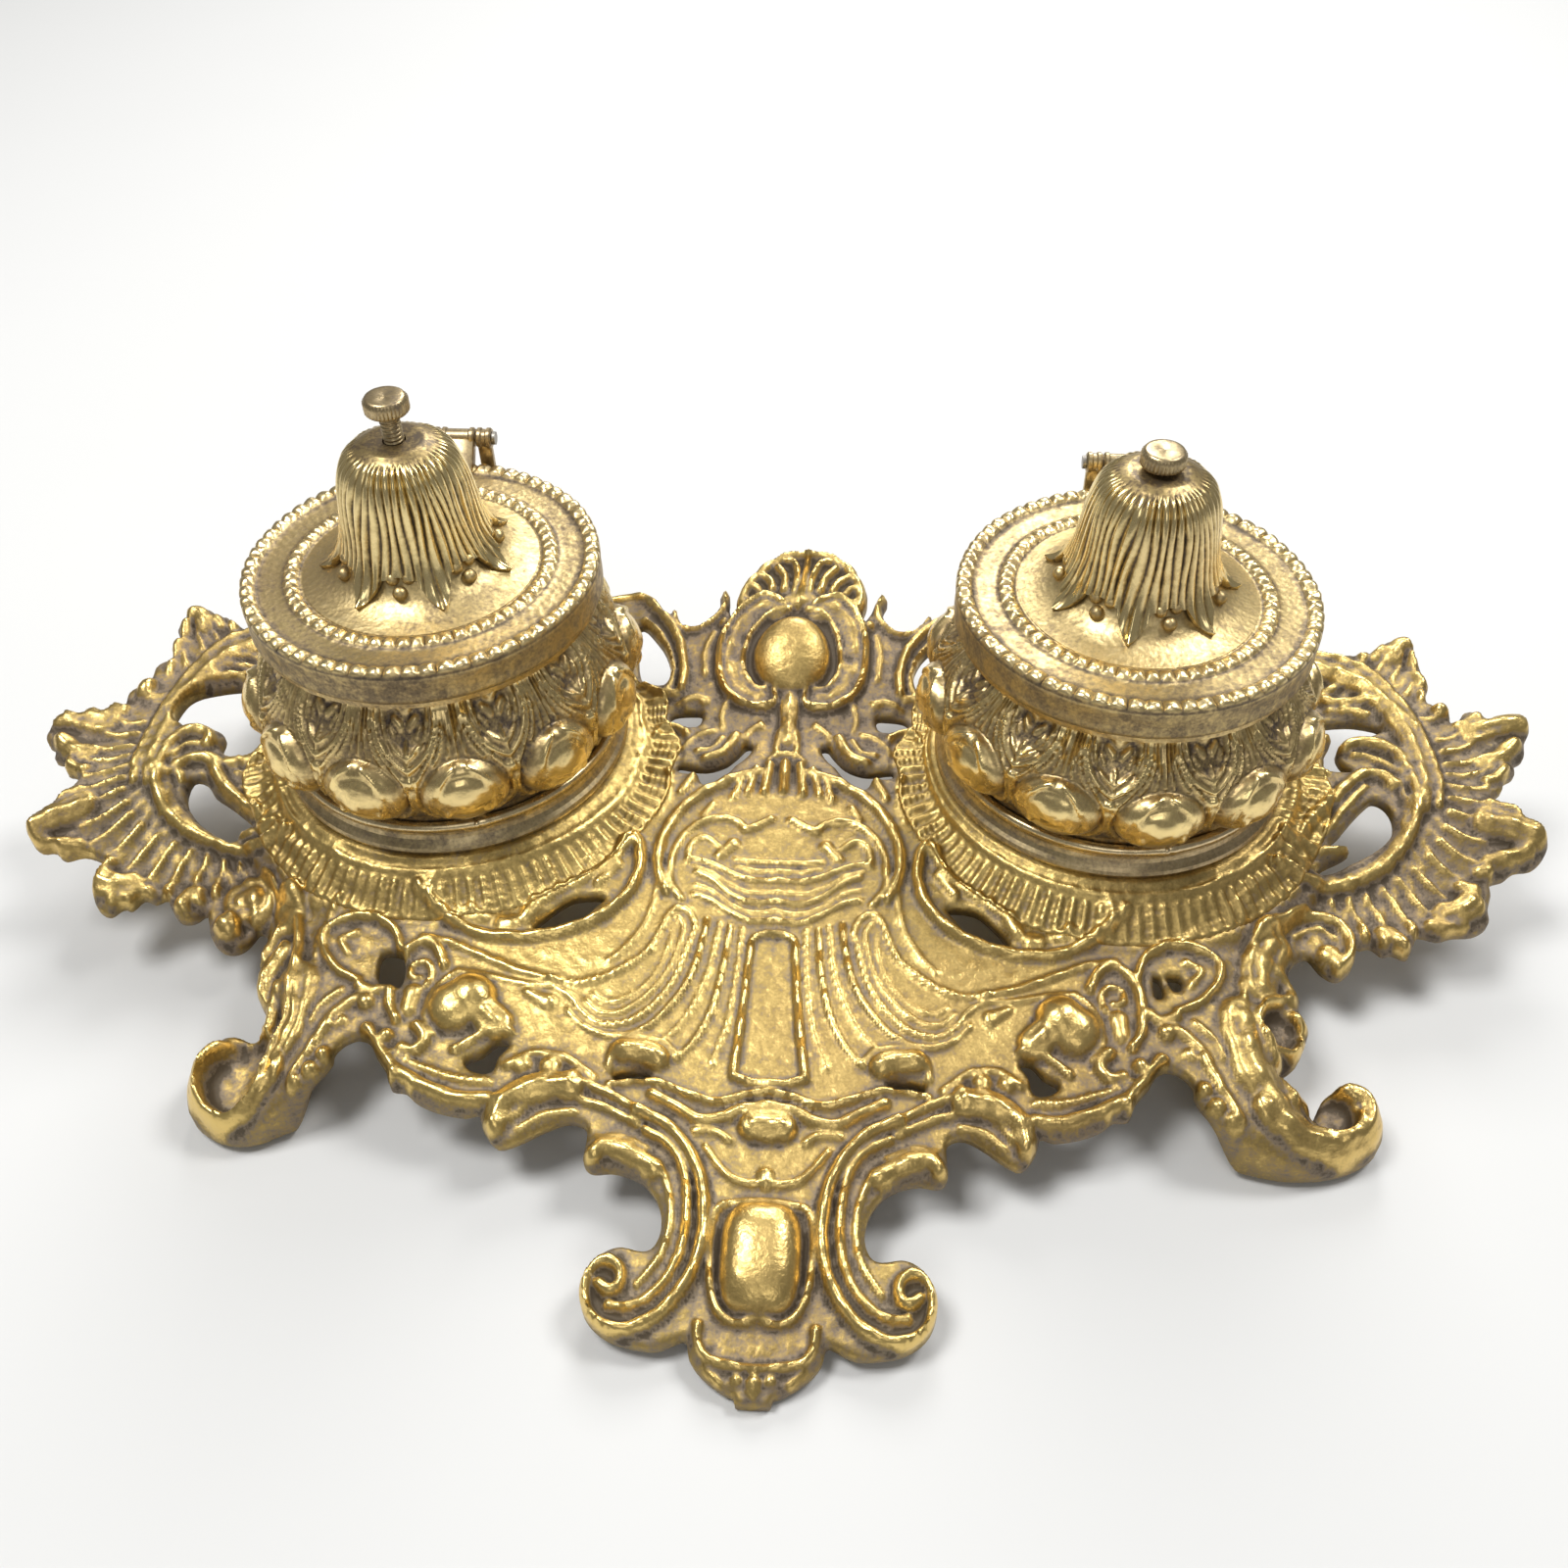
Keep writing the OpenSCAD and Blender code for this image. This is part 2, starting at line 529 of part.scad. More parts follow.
// ---------- placing ----------
module on_pot(s, z) { translate([s * px, y0, z]) children(); }
function up(s) = s < 0 ? left_lift : 0;
module p_collar(s) { color(brass) on_pot(s, seat_h) collar(); }
module p_pot(s) { color(dark_brass) on_pot(s, pot_z) pot(up(s)); }
module p_wire(s) { color(brass) on_pot(s, pot_z) rotate([0, 0, s < 0 ? 19 : 12]) foot_wire(); }
module p_liner(s) { color(glass) on_pot(s, liner_z) liner(up(s)); }
module p_lid(s) { color(brass) on_pot(s, lid_z + up(s)) lid(); }
module p_finial(s) { color(brass) on_pot(s, top_z + up(s)) rotate([0, 0, s < 0 ? -12 : 0.5]) finial(); }
module p_knob(s) { color(brass) on_pot(s, top_z + finial_h + 0.1 + up(s) + (s < 0 ? left_raise : 0)) knob(); }
module p_lid_nut(s) { color(steel) on_pot(s, lid_z + lid_h - lid_t - nut_h + up(s)) lid_nut(); }
module p_pot_hinge(s) { color(brass) on_pot(s, pot_z + up(s)) pot_hinge(up(s)); }
module p_lid_hinge(s) { color(brass) on_pot(s, top_z + up(s)) lid_hinge(); }
module p_hinge_pin(s) { color(steel) on_pot(s, hinge_z + up(s)) translate([0, hinge_y, 0]) hinge_pin(); }
module p_screw(s) { color(steel) on_pot(s, pot_z + base_in) fixing_screw(); }
module p_washer(s) { color(steel) on_pot(s, seat_h - plate_t - 1) fixing_washer(); }
module p_fix_nut(s) { color(steel) on_pot(s, seat_h - plate_t - 4.2) fixing_nut(); }

base_casting();
p_collar(-1);  // left_collar
p_pot(-1);  // left_pot
p_wire(-1);  // left_foot_wire
p_liner(-1);  // left_liner
p_lid(-1);  // left_lid
p_finial(-1);  // left_finial
p_knob(-1);  // left_finial_knob
p_lid_nut(-1);  // left_lid_nut
p_pot_hinge(-1);  // left_pot_hinge
p_lid_hinge(-1);  // left_lid_hinge
p_hinge_pin(-1);  // left_hinge_pin
p_screw(-1);  // left_fixing_screw
p_washer(-1);  // left_fixing_washer
p_fix_nut(-1);  // left_fixing_nut
p_collar(1);  // right_collar
p_pot(1);  // right_pot
p_wire(1);  // right_foot_wire
p_liner(1);  // right_liner
p_lid(1);  // right_lid
p_finial(1);  // right_finial
p_knob(1);  // right_finial_knob
p_lid_nut(1);  // right_lid_nut
p_pot_hinge(1);  // right_pot_hinge
p_lid_hinge(1);  // right_lid_hinge
p_hinge_pin(1);  // right_hinge_pin
p_screw(1);  // right_fixing_screw
p_washer(1);  // right_fixing_washer
p_fix_nut(1);  // right_fixing_nut
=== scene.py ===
import math

import bmesh
import bpy
import numpy as np
from mathutils import Matrix, Vector


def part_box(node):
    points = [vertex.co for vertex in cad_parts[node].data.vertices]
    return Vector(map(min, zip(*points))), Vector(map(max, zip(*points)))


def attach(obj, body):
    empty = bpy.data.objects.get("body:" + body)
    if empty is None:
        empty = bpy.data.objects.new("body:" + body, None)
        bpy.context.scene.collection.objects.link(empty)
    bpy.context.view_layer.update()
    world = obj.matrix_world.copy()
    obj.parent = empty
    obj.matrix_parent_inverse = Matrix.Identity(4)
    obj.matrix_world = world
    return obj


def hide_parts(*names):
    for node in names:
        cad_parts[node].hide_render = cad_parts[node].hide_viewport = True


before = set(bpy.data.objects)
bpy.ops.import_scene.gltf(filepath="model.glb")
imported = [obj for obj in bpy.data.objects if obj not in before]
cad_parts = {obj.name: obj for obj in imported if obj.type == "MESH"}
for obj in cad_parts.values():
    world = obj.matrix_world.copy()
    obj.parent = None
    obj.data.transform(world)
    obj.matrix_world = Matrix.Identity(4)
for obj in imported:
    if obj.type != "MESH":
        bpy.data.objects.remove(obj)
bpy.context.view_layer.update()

# Plan sizes are in millimetres, x from the middle of the stand, y from the line of the pots.
backShift = 41.4
potX = 71.0
liftOf = {1: 0.0, -1: 3.0}  # the left pot's neck and lid stand higher
nameOf = {1: "right", -1: "left"}


def ease(t):
    t = np.clip(t, 0, 1)
    return t * t * (3 - 2 * t)


def rounded(t, power=0.5):
    # a rounded hump, 1 at t = 0 and 0 from t = 1
    return np.maximum(0, 1 - t ** 2) ** power


def peak(value, middle, width):
    return np.exp(-((value - middle) / width) ** 2)


def smoothLine(points, steps=6, closed=False):
    p = np.array(points, float)
    n = len(p)
    out = []
    for i in range(n if closed else n - 1):
        a, b, c, d = (p[(i + k) % n] if closed else p[min(max(i + k, 0), n - 1)] for k in (-1, 0, 1, 2))
        for t in np.arange(steps) / steps:
            bend = (2 * a - 5 * b + 4 * c - d) * t * t + (3 * b - a - 3 * c + d) * t ** 3
            out.append(0.5 * (2 * b + (c - a) * t + bend))
    return np.array(out if closed else out + [p[-1]])


def denser(points, step):
    # the same outline with points no farther apart than the step
    out = []
    p = np.array(points, float)
    for a, b in zip(p[:-1], p[1:]):
        n = max(1, int(round(np.hypot(*(b - a)) / step)))
        out += [a + (b - a) * i / n for i in range(n)]
    return np.array(out + [p[-1]])


def nearLine(x, y, line):
    # distance to the line, how far along it (0 to 1), signed distance and length
    best = np.full(x.shape, 1e9)
    along, hand = np.zeros(x.shape), np.ones(x.shape)
    step = np.hypot(*np.diff(line, axis=0).T)
    total, done = max(step.sum(), 1e-6), 0.0
    for (ax, ay), (bx, by), s in zip(line[:-1], line[1:], step):
        dx, dy = bx - ax, by - ay
        t = np.clip(((x - ax) * dx + (y - ay) * dy) / max(s * s, 1e-9), 0, 1)
        qx, qy = x - ax - t * dx, y - ay - t * dy
        d = np.hypot(qx, qy)
        m = d < best
        best[m], along[m] = d[m], (done + t[m] * s) / total
        hand[m] = np.sign(dx * qy - dy * qx)[m]
        done += s
    return best, along, hand * best, total


def blurred(a, r):
    for axis in (0, 1):
        n = a.shape[axis]
        first, last = (np.repeat(np.take(a, [k], axis), r, axis) for k in (0, -1))
        c = np.cumsum(np.concatenate([first, a, last], axis), axis)
        c = np.concatenate([np.zeros_like(np.take(c, [0], axis)), c], axis)
        wide = 2 * r + 1
        a = (np.take(c, np.arange(wide, wide + n), axis) - np.take(c, np.arange(n), axis)) / wide
    return a


def placed(bm, x, y, z, wornAndShaded):
    # moves every point and marks its level of rubbing, dust and painted shade
    layer = bm.verts.layers.float.new("wornAndShaded")
    for v, *spot, w in zip(bm.verts, x, y, z, wornAndShaded):
        v.co, v[layer] = spot, w
    return bm


def toMetres(bm):
    bmesh.ops.scale(bm, vec=(0.001, 0.001, 0.001), verts=bm.verts[:])
    bmesh.ops.recalc_face_normals(bm, faces=bm.faces[:])
    return bm


def newVerts(made):
    return [v for v in made["geom"] if isinstance(v, bmesh.types.BMVert)]


def wearAndShadeOf(piece, **parts):
    # how rubbed, dusty and painted with shade a piece is: its own level, and what each part adds
    return sum((piece["wearAndShade"][part] * amount for part, amount in parts.items()), piece["wearAndShade"]["all"])


def addPiece(name, bm, finish, body, node=None, sharp=None):
    mesh = bpy.data.meshes.new(name)
    for f in bm.faces:
        f.smooth = True
    if sharp:
        for e in bm.edges:
            if len(e.link_faces) == 2 and e.calc_face_angle(0) > math.radians(sharp):
                e.smooth = False
    bm.to_mesh(mesh)
    bm.free()
    mesh.materials.append(finish)
    obj = bpy.data.objects.new(name, mesh)
    bpy.context.scene.collection.objects.link(obj)
    if body:
        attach(obj, body)
        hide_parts(node)
    return obj


# finishes
# painted shade: the darkest colour of the brass, put in the deepest creases where shade falls
crease = (0.105, 0.08, 0.05)
brass = {
    "tray": {"bright": (0.80, 0.585, 0.21), "body": (0.41, 0.295, 0.105), "dust": (0.26, 0.205, 0.14),
             "shine": 0.3, "matte": 0.62, "grain": 0.5},
    "pot": {"bright": (0.96, 0.75, 0.34), "body": (0.50, 0.37, 0.175), "dust": (0.12, 0.09, 0.065),
            "shine": 0.2, "matte": 0.45, "grain": 0.18},
    "lid": {"bright": (0.90, 0.72, 0.38), "body": (0.60, 0.46, 0.215), "dust": (0.25, 0.185, 0.10),
            "shine": 0.28, "matte": 0.5, "grain": 0.26},
    "finial": {"bright": (0.93, 0.74, 0.36), "body": (0.52, 0.39, 0.17), "dust": (0.13, 0.09, 0.045),
               "shine": 0.2, "matte": 0.42, "grain": 0.12},
    "turned": {"bright": (0.84, 0.68, 0.40), "body": (0.50, 0.39, 0.21), "dust": (0.20, 0.155, 0.105),
               "shine": 0.22, "matte": 0.42, "grain": 0.12},
}
patina = {
    "blotch": {"scale": 55, "detail": 4, "amount": 0.42},
    "fine": {"scale": 420, "detail": 3, "amount": 0.6},
    "speck": {"scale": 1500, "detail": 2, "amount": 0.5},
    # the lowest level is painted shade in the deepest creases
    "levels": {"crease": 0.0, "dust": 0.18, "body": 0.44, "bright": 0.84},
    "bumpDepth": {"fine": 0.0004, "speck": 0.00015},
    "stippleCells": 900,
}


def nodesOf(name):
    mat = bpy.data.materials.new(name)
    mat.use_nodes = True
    tree = mat.node_tree
    return mat, tree, tree.nodes["Principled BSDF"], tree.nodes.new("ShaderNodeTexCoord").outputs["Object"]


def joined(tree, kind, links=(), **values):
    node = tree.nodes.new("ShaderNode" + kind)
    for key, v in values.items():
        setattr(node, key, v)
    for socket, v in links:
        if isinstance(v, bpy.types.NodeSocket):
            tree.links.new(v, node.inputs[socket])
        else:
            node.inputs[socket].default_value = v
    return node


def noise(tree, place, scale, detail=3.0):
    links = [("Vector", place), ("Scale", scale), ("Detail", detail), ("Roughness", 0.55)]
    return joined(tree, "TexNoise", links).outputs["Fac"]


def sums(tree, how, a, b, clamp=False):
    return joined(tree, "Math", [(0, a), (1, b)], operation=how, use_clamp=clamp).outputs[0]


def swing(tree, value, amount):
    return sums(tree, "MULTIPLY", sums(tree, "SUBTRACT", value, 0.5), amount)


def spread(tree, value, low, high, lowTo, highTo):
    links = [("Value", value), ("From Min", low), ("From Max", high), ("To Min", lowTo), ("To Max", highTo)]
    return joined(tree, "MapRange", links).outputs[0]


def colours(tree, amount, *stops):
    node = joined(tree, "ValToRGB", [("Fac", amount)])
    ramp = node.color_ramp.elements
    for end, (at, tone) in ((ramp[0], stops[0]), (ramp[1], stops[-1])):
        end.position, end.color = at, (*tone, 1)
    for at, tone in stops[1:-1]:
        ramp.new(at).color = (*tone, 1)
    return node.outputs["Color"]


def bumped(tree, strength, depth, height, under=None):
    links = [("Strength", strength), ("Distance", depth), ("Height", height)]
    return joined(tree, "Bump", links + ([("Normal", under)] if under else [])).outputs[0]


def makeBrass(name, kind, stipple=0.0, flat=None, grain=None):
    # aged brass: dust in the hollows, painted shade in the deepest creases, rubbed bright on what stands up
    mat, tree, shader, place = nodesOf(name)
    tone, levels, depth = {**brass[kind], "crease": crease}, patina["levels"], patina["bumpDepth"]
    grain = grain or tone["grain"]
    marks = {k: noise(tree, place, patina[k]["scale"], patina[k]["detail"])
             for k in ("blotch", "fine", "speck")}
    if flat:
        level = sums(tree, "ADD", flat, 0.0)
    else:
        level = joined(tree, "Attribute", attribute_name="wornAndShaded").outputs["Fac"]
    for k, mark in marks.items():
        level = sums(tree, "ADD", level, swing(tree, mark, patina[k]["amount"]), k == "speck")
    metal = colours(tree, level, *((at, tone[part]) for part, at in levels.items()))
    grey = colours(tree, noise(tree, place, 24), (0.42, (1, 1, 1)), (0.72, (0.86, 0.83, 0.86)))
    mix = joined(tree, "Mix", [("Factor", 1.0), (6, metal), (7, grey)], data_type="RGBA", blend_type="MULTIPLY")
    tree.links.new(mix.outputs[2], shader.inputs["Base Color"])
    tree.links.new(spread(tree, level, 0.12, 0.42, 0.45, 1.0), shader.inputs["Metallic"])
    rough = spread(tree, level, 0.2, 0.85, tone["matte"], tone["shine"])
    tree.links.new(sums(tree, "ADD", rough, swing(tree, marks["speck"], 0.12)), shader.inputs["Roughness"])
    relief = bumped(tree, grain, depth["fine"], marks["fine"])
    relief = bumped(tree, grain * 0.7, depth["speck"], marks["speck"], relief)
    if stipple:
        cells = joined(tree, "TexVoronoi", [("Vector", place), ("Scale", patina["stippleCells"])])
        relief = bumped(tree, stipple, depth["fine"], cells.outputs["Distance"], relief)
    tree.links.new(relief, shader.inputs["Normal"])
    return mat


def makeSteel(name):
    mat, tree, shader, place = nodesOf(name)
    stain = colours(tree, noise(tree, place, 260, 4), (0, (0.16, 0.13, 0.10)), (1, (0.46, 0.44, 0.40)))
    tree.links.new(stain, shader.inputs["Base Color"])
    shader.inputs["Metallic"].default_value = 1.0
    smear = sums(tree, "MULTIPLY", noise(tree, place, 900), 0.25)
    tree.links.new(sums(tree, "ADD", 0.3, smear), shader.inputs["Roughness"])
    return mat


def makeGlass(name):
    mat, tree, shader, place = nodesOf(name)
    tint = colours(tree, noise(tree, place, 60), (0, (0.72, 0.82, 0.78)), (1, (0.86, 0.92, 0.9)))
    tree.links.new(tint, shader.inputs["Base Color"])
    shader.inputs["Transmission Weight"].default_value = 0.9
    shader.inputs["IOR"].default_value = 1.5
    tree.links.new(sums(tree, "MULTIPLY", noise(tree, place, 300), 0.2), shader.inputs["Roughness"])
    return mat


trayBrass = makeBrass("tray brass", "tray")
potBrass = makeBrass("pot brass", "pot")
lidBrass = makeBrass("lid brass", "lid", stipple=0.12)
turnedBrass = makeBrass("turned brass", "turned", flat=0.42)
wireBrass = makeBrass("wire brass", "turned", flat=0.68, grain=0.08)
finialBrass = makeBrass("finial brass", "finial")
fixingSteel = makeSteel("fixing steel")
linerGlass = makeGlass("liner glass")

steelParts = ("hinge_pin", "lid_nut", "fixing_screw", "fixing_washer", "fixing_nut")
for name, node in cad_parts.items():
    finish = linerGlass if "liner" in name else fixingSteel if name.endswith(steelParts) else turnedBrass
    for slot in node.material_slots:
        slot.material = finish
print("finishes made")

# the cast stand
cast = {
    "cell": 0.55,  # spacing of the modelled surface
    "size": (165, 190),  # of one half
    "front": -134.2,
    "plate": 3.0,
    "thinnest": 0.8,
    "edge": 1.5,  # rounding of the cast edges
    "footEdge": 3.6,  # how much rounder the feet are
    # the sheet's height in the middle, and how it changes outward
    "land": {"middle": 28.0, "back": 0.17, "front": 25.0, "wings": 1.5, "feet": 7.0, "crest": 15.0},
    # how far parts of the real casting lean: right, outward or forward
    "lean": {"middle": 1.5, "front": 1.3, "crest": 2.6, "out": 9.0, "wing": 13.0, "foot": 3.5},
    "limits": ((-163.7, 163.7), (-133.9, 50.9)),
    "seat": {"height": 30.0, "flat": 38.0, "rim": 48.3, "fall": 7.5, "hole": 40.6},
    "skirt": {"ribs": 104, "from": 41.4, "to": 48.0, "height": 0.88, "rung": 0.13, "sharp": 2.6},
    "dome": {"at": (0, 21.5), "radius": 8.8, "height": 5.2},
    "cabochon": {"at": (0, -111), "half": (7.4, 9.8), "height": 5.0},
    # flutes of the leafage: centre, from, to, count, height
    "flutes": ((119, -5), 19, 60, 46, 0.24),
    # hollows in the feet: half width, depth, place
    "cups": {1: [(4.4, 2.0, (109, -76.6)), (4.4, 1.6, (100.4, -61.4))], -1: [(8.2, 2.4, (107.8, -75.8))]},
    "ridge": {"lift": 1.12, "over": 0.35, "overMost": 0.8, "groove": 0.2},
    "waver": {"width": 0.06, "height": 0.07},  # the chaser's hand along each ridge
    "cord": {"pitch": 1.7, "depth": 0.3},
    "uneven": {"seed": 4, "grain": 0.07, "waves": 0.10, "ripples": 0.05},
    # 0 is painted shade in the deepest creases, 1 is rubbed bright; the tray was rubbed, the wings and the
    # leafage kept their dust, and the apron is darkened a little as painted shade
    "wearAndShade": {"all": 0.44, "fine": 0.62, "broad": 0.16, "grain": 0.03, "tray": 0.08, "dish": 0.12,
             "wings": -0.10, "crest": -0.12, "apron": -0.02, "tops": 0.14, "under": 0.3},
}
# outline of one half, from the crest round the wing and the foot to the tip of the front leaf
castOutline = [
    [(-3, 49.6), (0.6, 49.9), (3.8, 49.8), (6.6, 48.9), (8, 47.6), (10, 47.4), (11.8, 45.2), (12.2, 43),
     (14, 41.2), (15, 38.4), (15, 36), (14.6, 33.6), (15.4, 32.6), (16.6, 35.4), (17.2, 38.8), (18.6, 40.2),
     (19.6, 39.2), (19, 36.2), (20, 33.2), (22.5, 31.2), (26, 31.5), (28.4, 34.5), (29.8, 37.8), (31.3, 36.6),
     (33, 39), (36, 44), (40, 47.6), (48, 47), (56, 46.6), (62, 47.7), (71, 48.5), (80, 47.7), (88, 45.4),
     (95, 42.4), (103, 41), (112, 40.4), (120, 37.2)],
    {1:  [(126, 33.6), (129.6, 32.2), (131.6, 31), (133.4, 31.6), (136.3, 34), (139, 34.8), (141.4, 34.4),
         (143, 31.6), (142.6, 29), (143.4, 26.2), (143, 24), (144.2, 21.8), (142.8, 17.8), (143.6, 16.4),
         (145.4, 15.8), (147, 13.4), (147, 11.6), (148.8, 12), (150.6, 14.2), (153.4, 13.8), (154.2, 11.4),
         (157.2, 13), (161.4, 13.4), (163.6, 12), (163.2, 9.2), (161.4, 6), (160.6, 2.6), (158, 0.6),
         (157.4, -2.4), (154.5, -4.6), (153.4, -7.2), (150.4, -10), (152.4, -11.6), (154.8, -12.2),
         (156.2, -14.4), (158.6, -15.6), (160.4, -18.2), (159.8, -21), (157, -23.4), (153.4, -24),
         (151, -25.6), (147.9, -26.6), (147.9, -29), (146.8, -32), (146.4, -35), (143.2, -37.1), (139, -37.4),
         (136, -38.2), (132.4, -37.2), (131, -39.4), (129.2, -42.4), (126.6, -41.2), (124.6, -41.6),
         (122.6, -39.8), (120.4, -40.2), (119.3, -39.8), (118.9, -42), (117.5, -45.4), (114.5, -47.6),
         (111.6, -46), (109.6, -43), (107.4, -43.6), (105.2, -46), (104.4, -48.4), (104.8, -50.6), (106, -53),
         (105.6, -55.6), (106.9, -58.4), (106.2, -61.6), (103.6, -66.4), (99.6, -69), (98.8, -70.4),
         (101, -71.8), (103.6, -73), (104.8, -75), (105, -76.6), (106.4, -75.6), (107.8, -72.8),
         (110.5, -70.8), (114.2, -70), (117.4, -72.4), (118.8, -76.6)],
     -1:  [(126.8, 32.4), (129.4, 31.4), (132, 31.9), (134, 33.4), (136, 33.2), (138, 34.9), (140.4, 34.8),
          (143.2, 33.2), (143, 30.6), (144.1, 28.4), (142.8, 25.6), (143.6, 23), (142.4, 20.4), (144, 19.8),
          (145.6, 19), (145.4, 16.4), (147, 15.6), (148.9, 13.7), (148.8, 11.8), (150.4, 11.8), (152, 10),
          (154, 11), (156.4, 9.8), (159.6, 10.4), (162.4, 9), (163, 7.2), (161.6, 5), (159.6, 3.6),
          (159, 0.8), (156, -0.8), (154.8, -4), (152.2, -5.6), (151.4, -7.8), (152.6, -9.8), (153.3, -12.2),
          (155, -14.6), (157.6, -16.6), (157.4, -19.7), (155, -22), (152.4, -22.4), (150.4, -24.4),
          (147, -24.4), (143.8, -26), (142.4, -27.4), (144, -29.4), (144.6, -32.5), (144.2, -36),
          (142, -38.4), (139.6, -37.2), (138, -38), (135.7, -36.2), (133.6, -37.6), (131.4, -37.1),
          (130.4, -40.3), (128.8, -43), (126.2, -43.2), (123.8, -41.8), (123.2, -44.6), (122.8, -47.8),
          (120.4, -50.4), (117, -50.4), (113.6, -48.4), (111, -46), (108.4, -46.4), (107.2, -49),
          (107.8, -51.4), (106.6, -53.6), (107.4, -56.6), (106, -59), (106.4, -62), (104, -65),
          (104.6, -67.6), (107.6, -68.8), (111, -67.9), (114.8, -68), (118, -70.8), (119.2, -75)]},
    [(117.6, -80.6), (113.4, -84), (107.4, -86.2), (100.6, -86.9), (94.6, -86.1), (89.8, -84.8),
     (86.4, -83.4), (83.6, -80.4), (82, -77.6), (82, -75.6), (80.5, -73.6), (78, -72.4), (75.5, -73.2),
     (73.6, -76), (71, -79), (69.4, -82.2), (66.6, -82.6), (64.2, -84.4), (60, -86), (55, -86.8),
     (52.4, -86.2), (51.4, -89), (48.4, -92.4), (45, -91.4), (41, -89), (37, -87.2), (33.8, -88),
     (33.2, -90.4), (33.4, -94.6), (31.6, -96.2), (28.2, -95.9), (24.3, -96.8), (21.3, -98.6), (18.9, -102),
     (18.2, -106), (19.2, -109), (21.3, -110), (25, -109.4), (28.2, -110.6), (30.4, -113.6), (31.3, -117),
     (30.1, -121), (26.8, -124), (22.3, -125.4), (17.4, -125.8), (14.6, -124.8), (12.2, -124), (11.4, -126.8),
     (9.2, -129.4), (6.2, -131.4), (3.4, -132.5), (-3, -132.6)]]
castPiercings = [
    [(29, 17.8), (27.8, 21), (29.5, 26), (33, 31), (36.5, 35), (38, 33), (36, 27), (34.8, 21), (33.5, 18.6)],
    [(19.6, 9.6), (21.5, 10), (25.5, 9.7), (26.8, 8.3), (24.5, 6.6), (21.5, 5.9), (19.8, 7)],
    [(7.5, 0.5), (9, 1), (10.6, -1.5), (13, -4.5), (16, -6.1), (19, -6.4), (23.3, -5.6), (23, -7.8),
     (19.4, -8.3), (18.2, -10.5), (16, -11.3), (13.7, -9.5), (11, -5.5), (8.5, -2.4)],
    [(35, -40.3), (40.5, -40.6), (44.4, -43.5), (48, -48.2), (43.2, -47.4), (39, -45.4), (36.5, -42.6)],
    [(48.7, -72.7), (51.2, -72.5), (53.7, -75), (56.4, -76.4), (55.6, -78.1), (52.8, -78.9), (51, -78),
     (50.5, -75.5)],
    [(22.5, -77.6), (25, -77.2), (29.2, -78), (29, -79.3), (26, -79.2), (23, -78.7)]]
castPiercingsOf = {
    1: [[(76.2, -53.6), (77.8, -54.6), (77.8, -57.8), (76.2, -58)],
        [(79, -53.6), (81.6, -53.8), (81.6, -56), (80.1, -56.6), (79.2, -55.4)],
        [(117.9, 27.4), (119.6, 26.4), (119.6, 21), (118.6, 16.9), (119.6, 13.2), (123, 12.9), (127, 12.3),
         (132.1, 9.9), (129.3, 8.3), (124, 7.4), (121.5, 4), (122, 0.3), (123.8, -1.6), (118.6, -1.4),
         (118.6, 2), (119.2, 4), (121.2, 7.8), (119.9, 9.3), (116, 8.2), (117, 14), (116.2, 19), (116, 23.3)],
        [(126.6, -9.8), (128.6, -11), (129.9, -14), (129.4, -17.4), (126.3, -20.4), (121.2, -22.9),
         (116.6, -25), (112.4, -25.9), (114.8, -23.8), (118.7, -22), (120.4, -20.5), (116, -19.8),
         (118.4, -17.7), (121.2, -14.6), (124.8, -11)]],
    -1: [[(76.6, -54.7), (72.6, -55), (71.3, -59.4), (72.1, -62.3), (76, -61.5), (77, -58)],
         [(134.6, 11.4), (129.9, 12.9), (122.8, 14.6), (119.8, 12.5), (118.4, 5.9), (116.6, 1), (116.3, -5),
          (120.2, -7.4), (123.9, -5.8), (124.6, -1), (128.4, 1.9), (133.6, 3.2), (136.6, 5.6), (136.3, 9)],
         [(127.8, -13.1), (124.9, -13.8), (122.6, -16.6), (119.4, -18.4), (116.6, -20), (113, -22.7),
          (115.6, -24.4), (117.6, -26.7), (122, -24.6), (125.9, -21.4), (128.3, -17.3)]]}
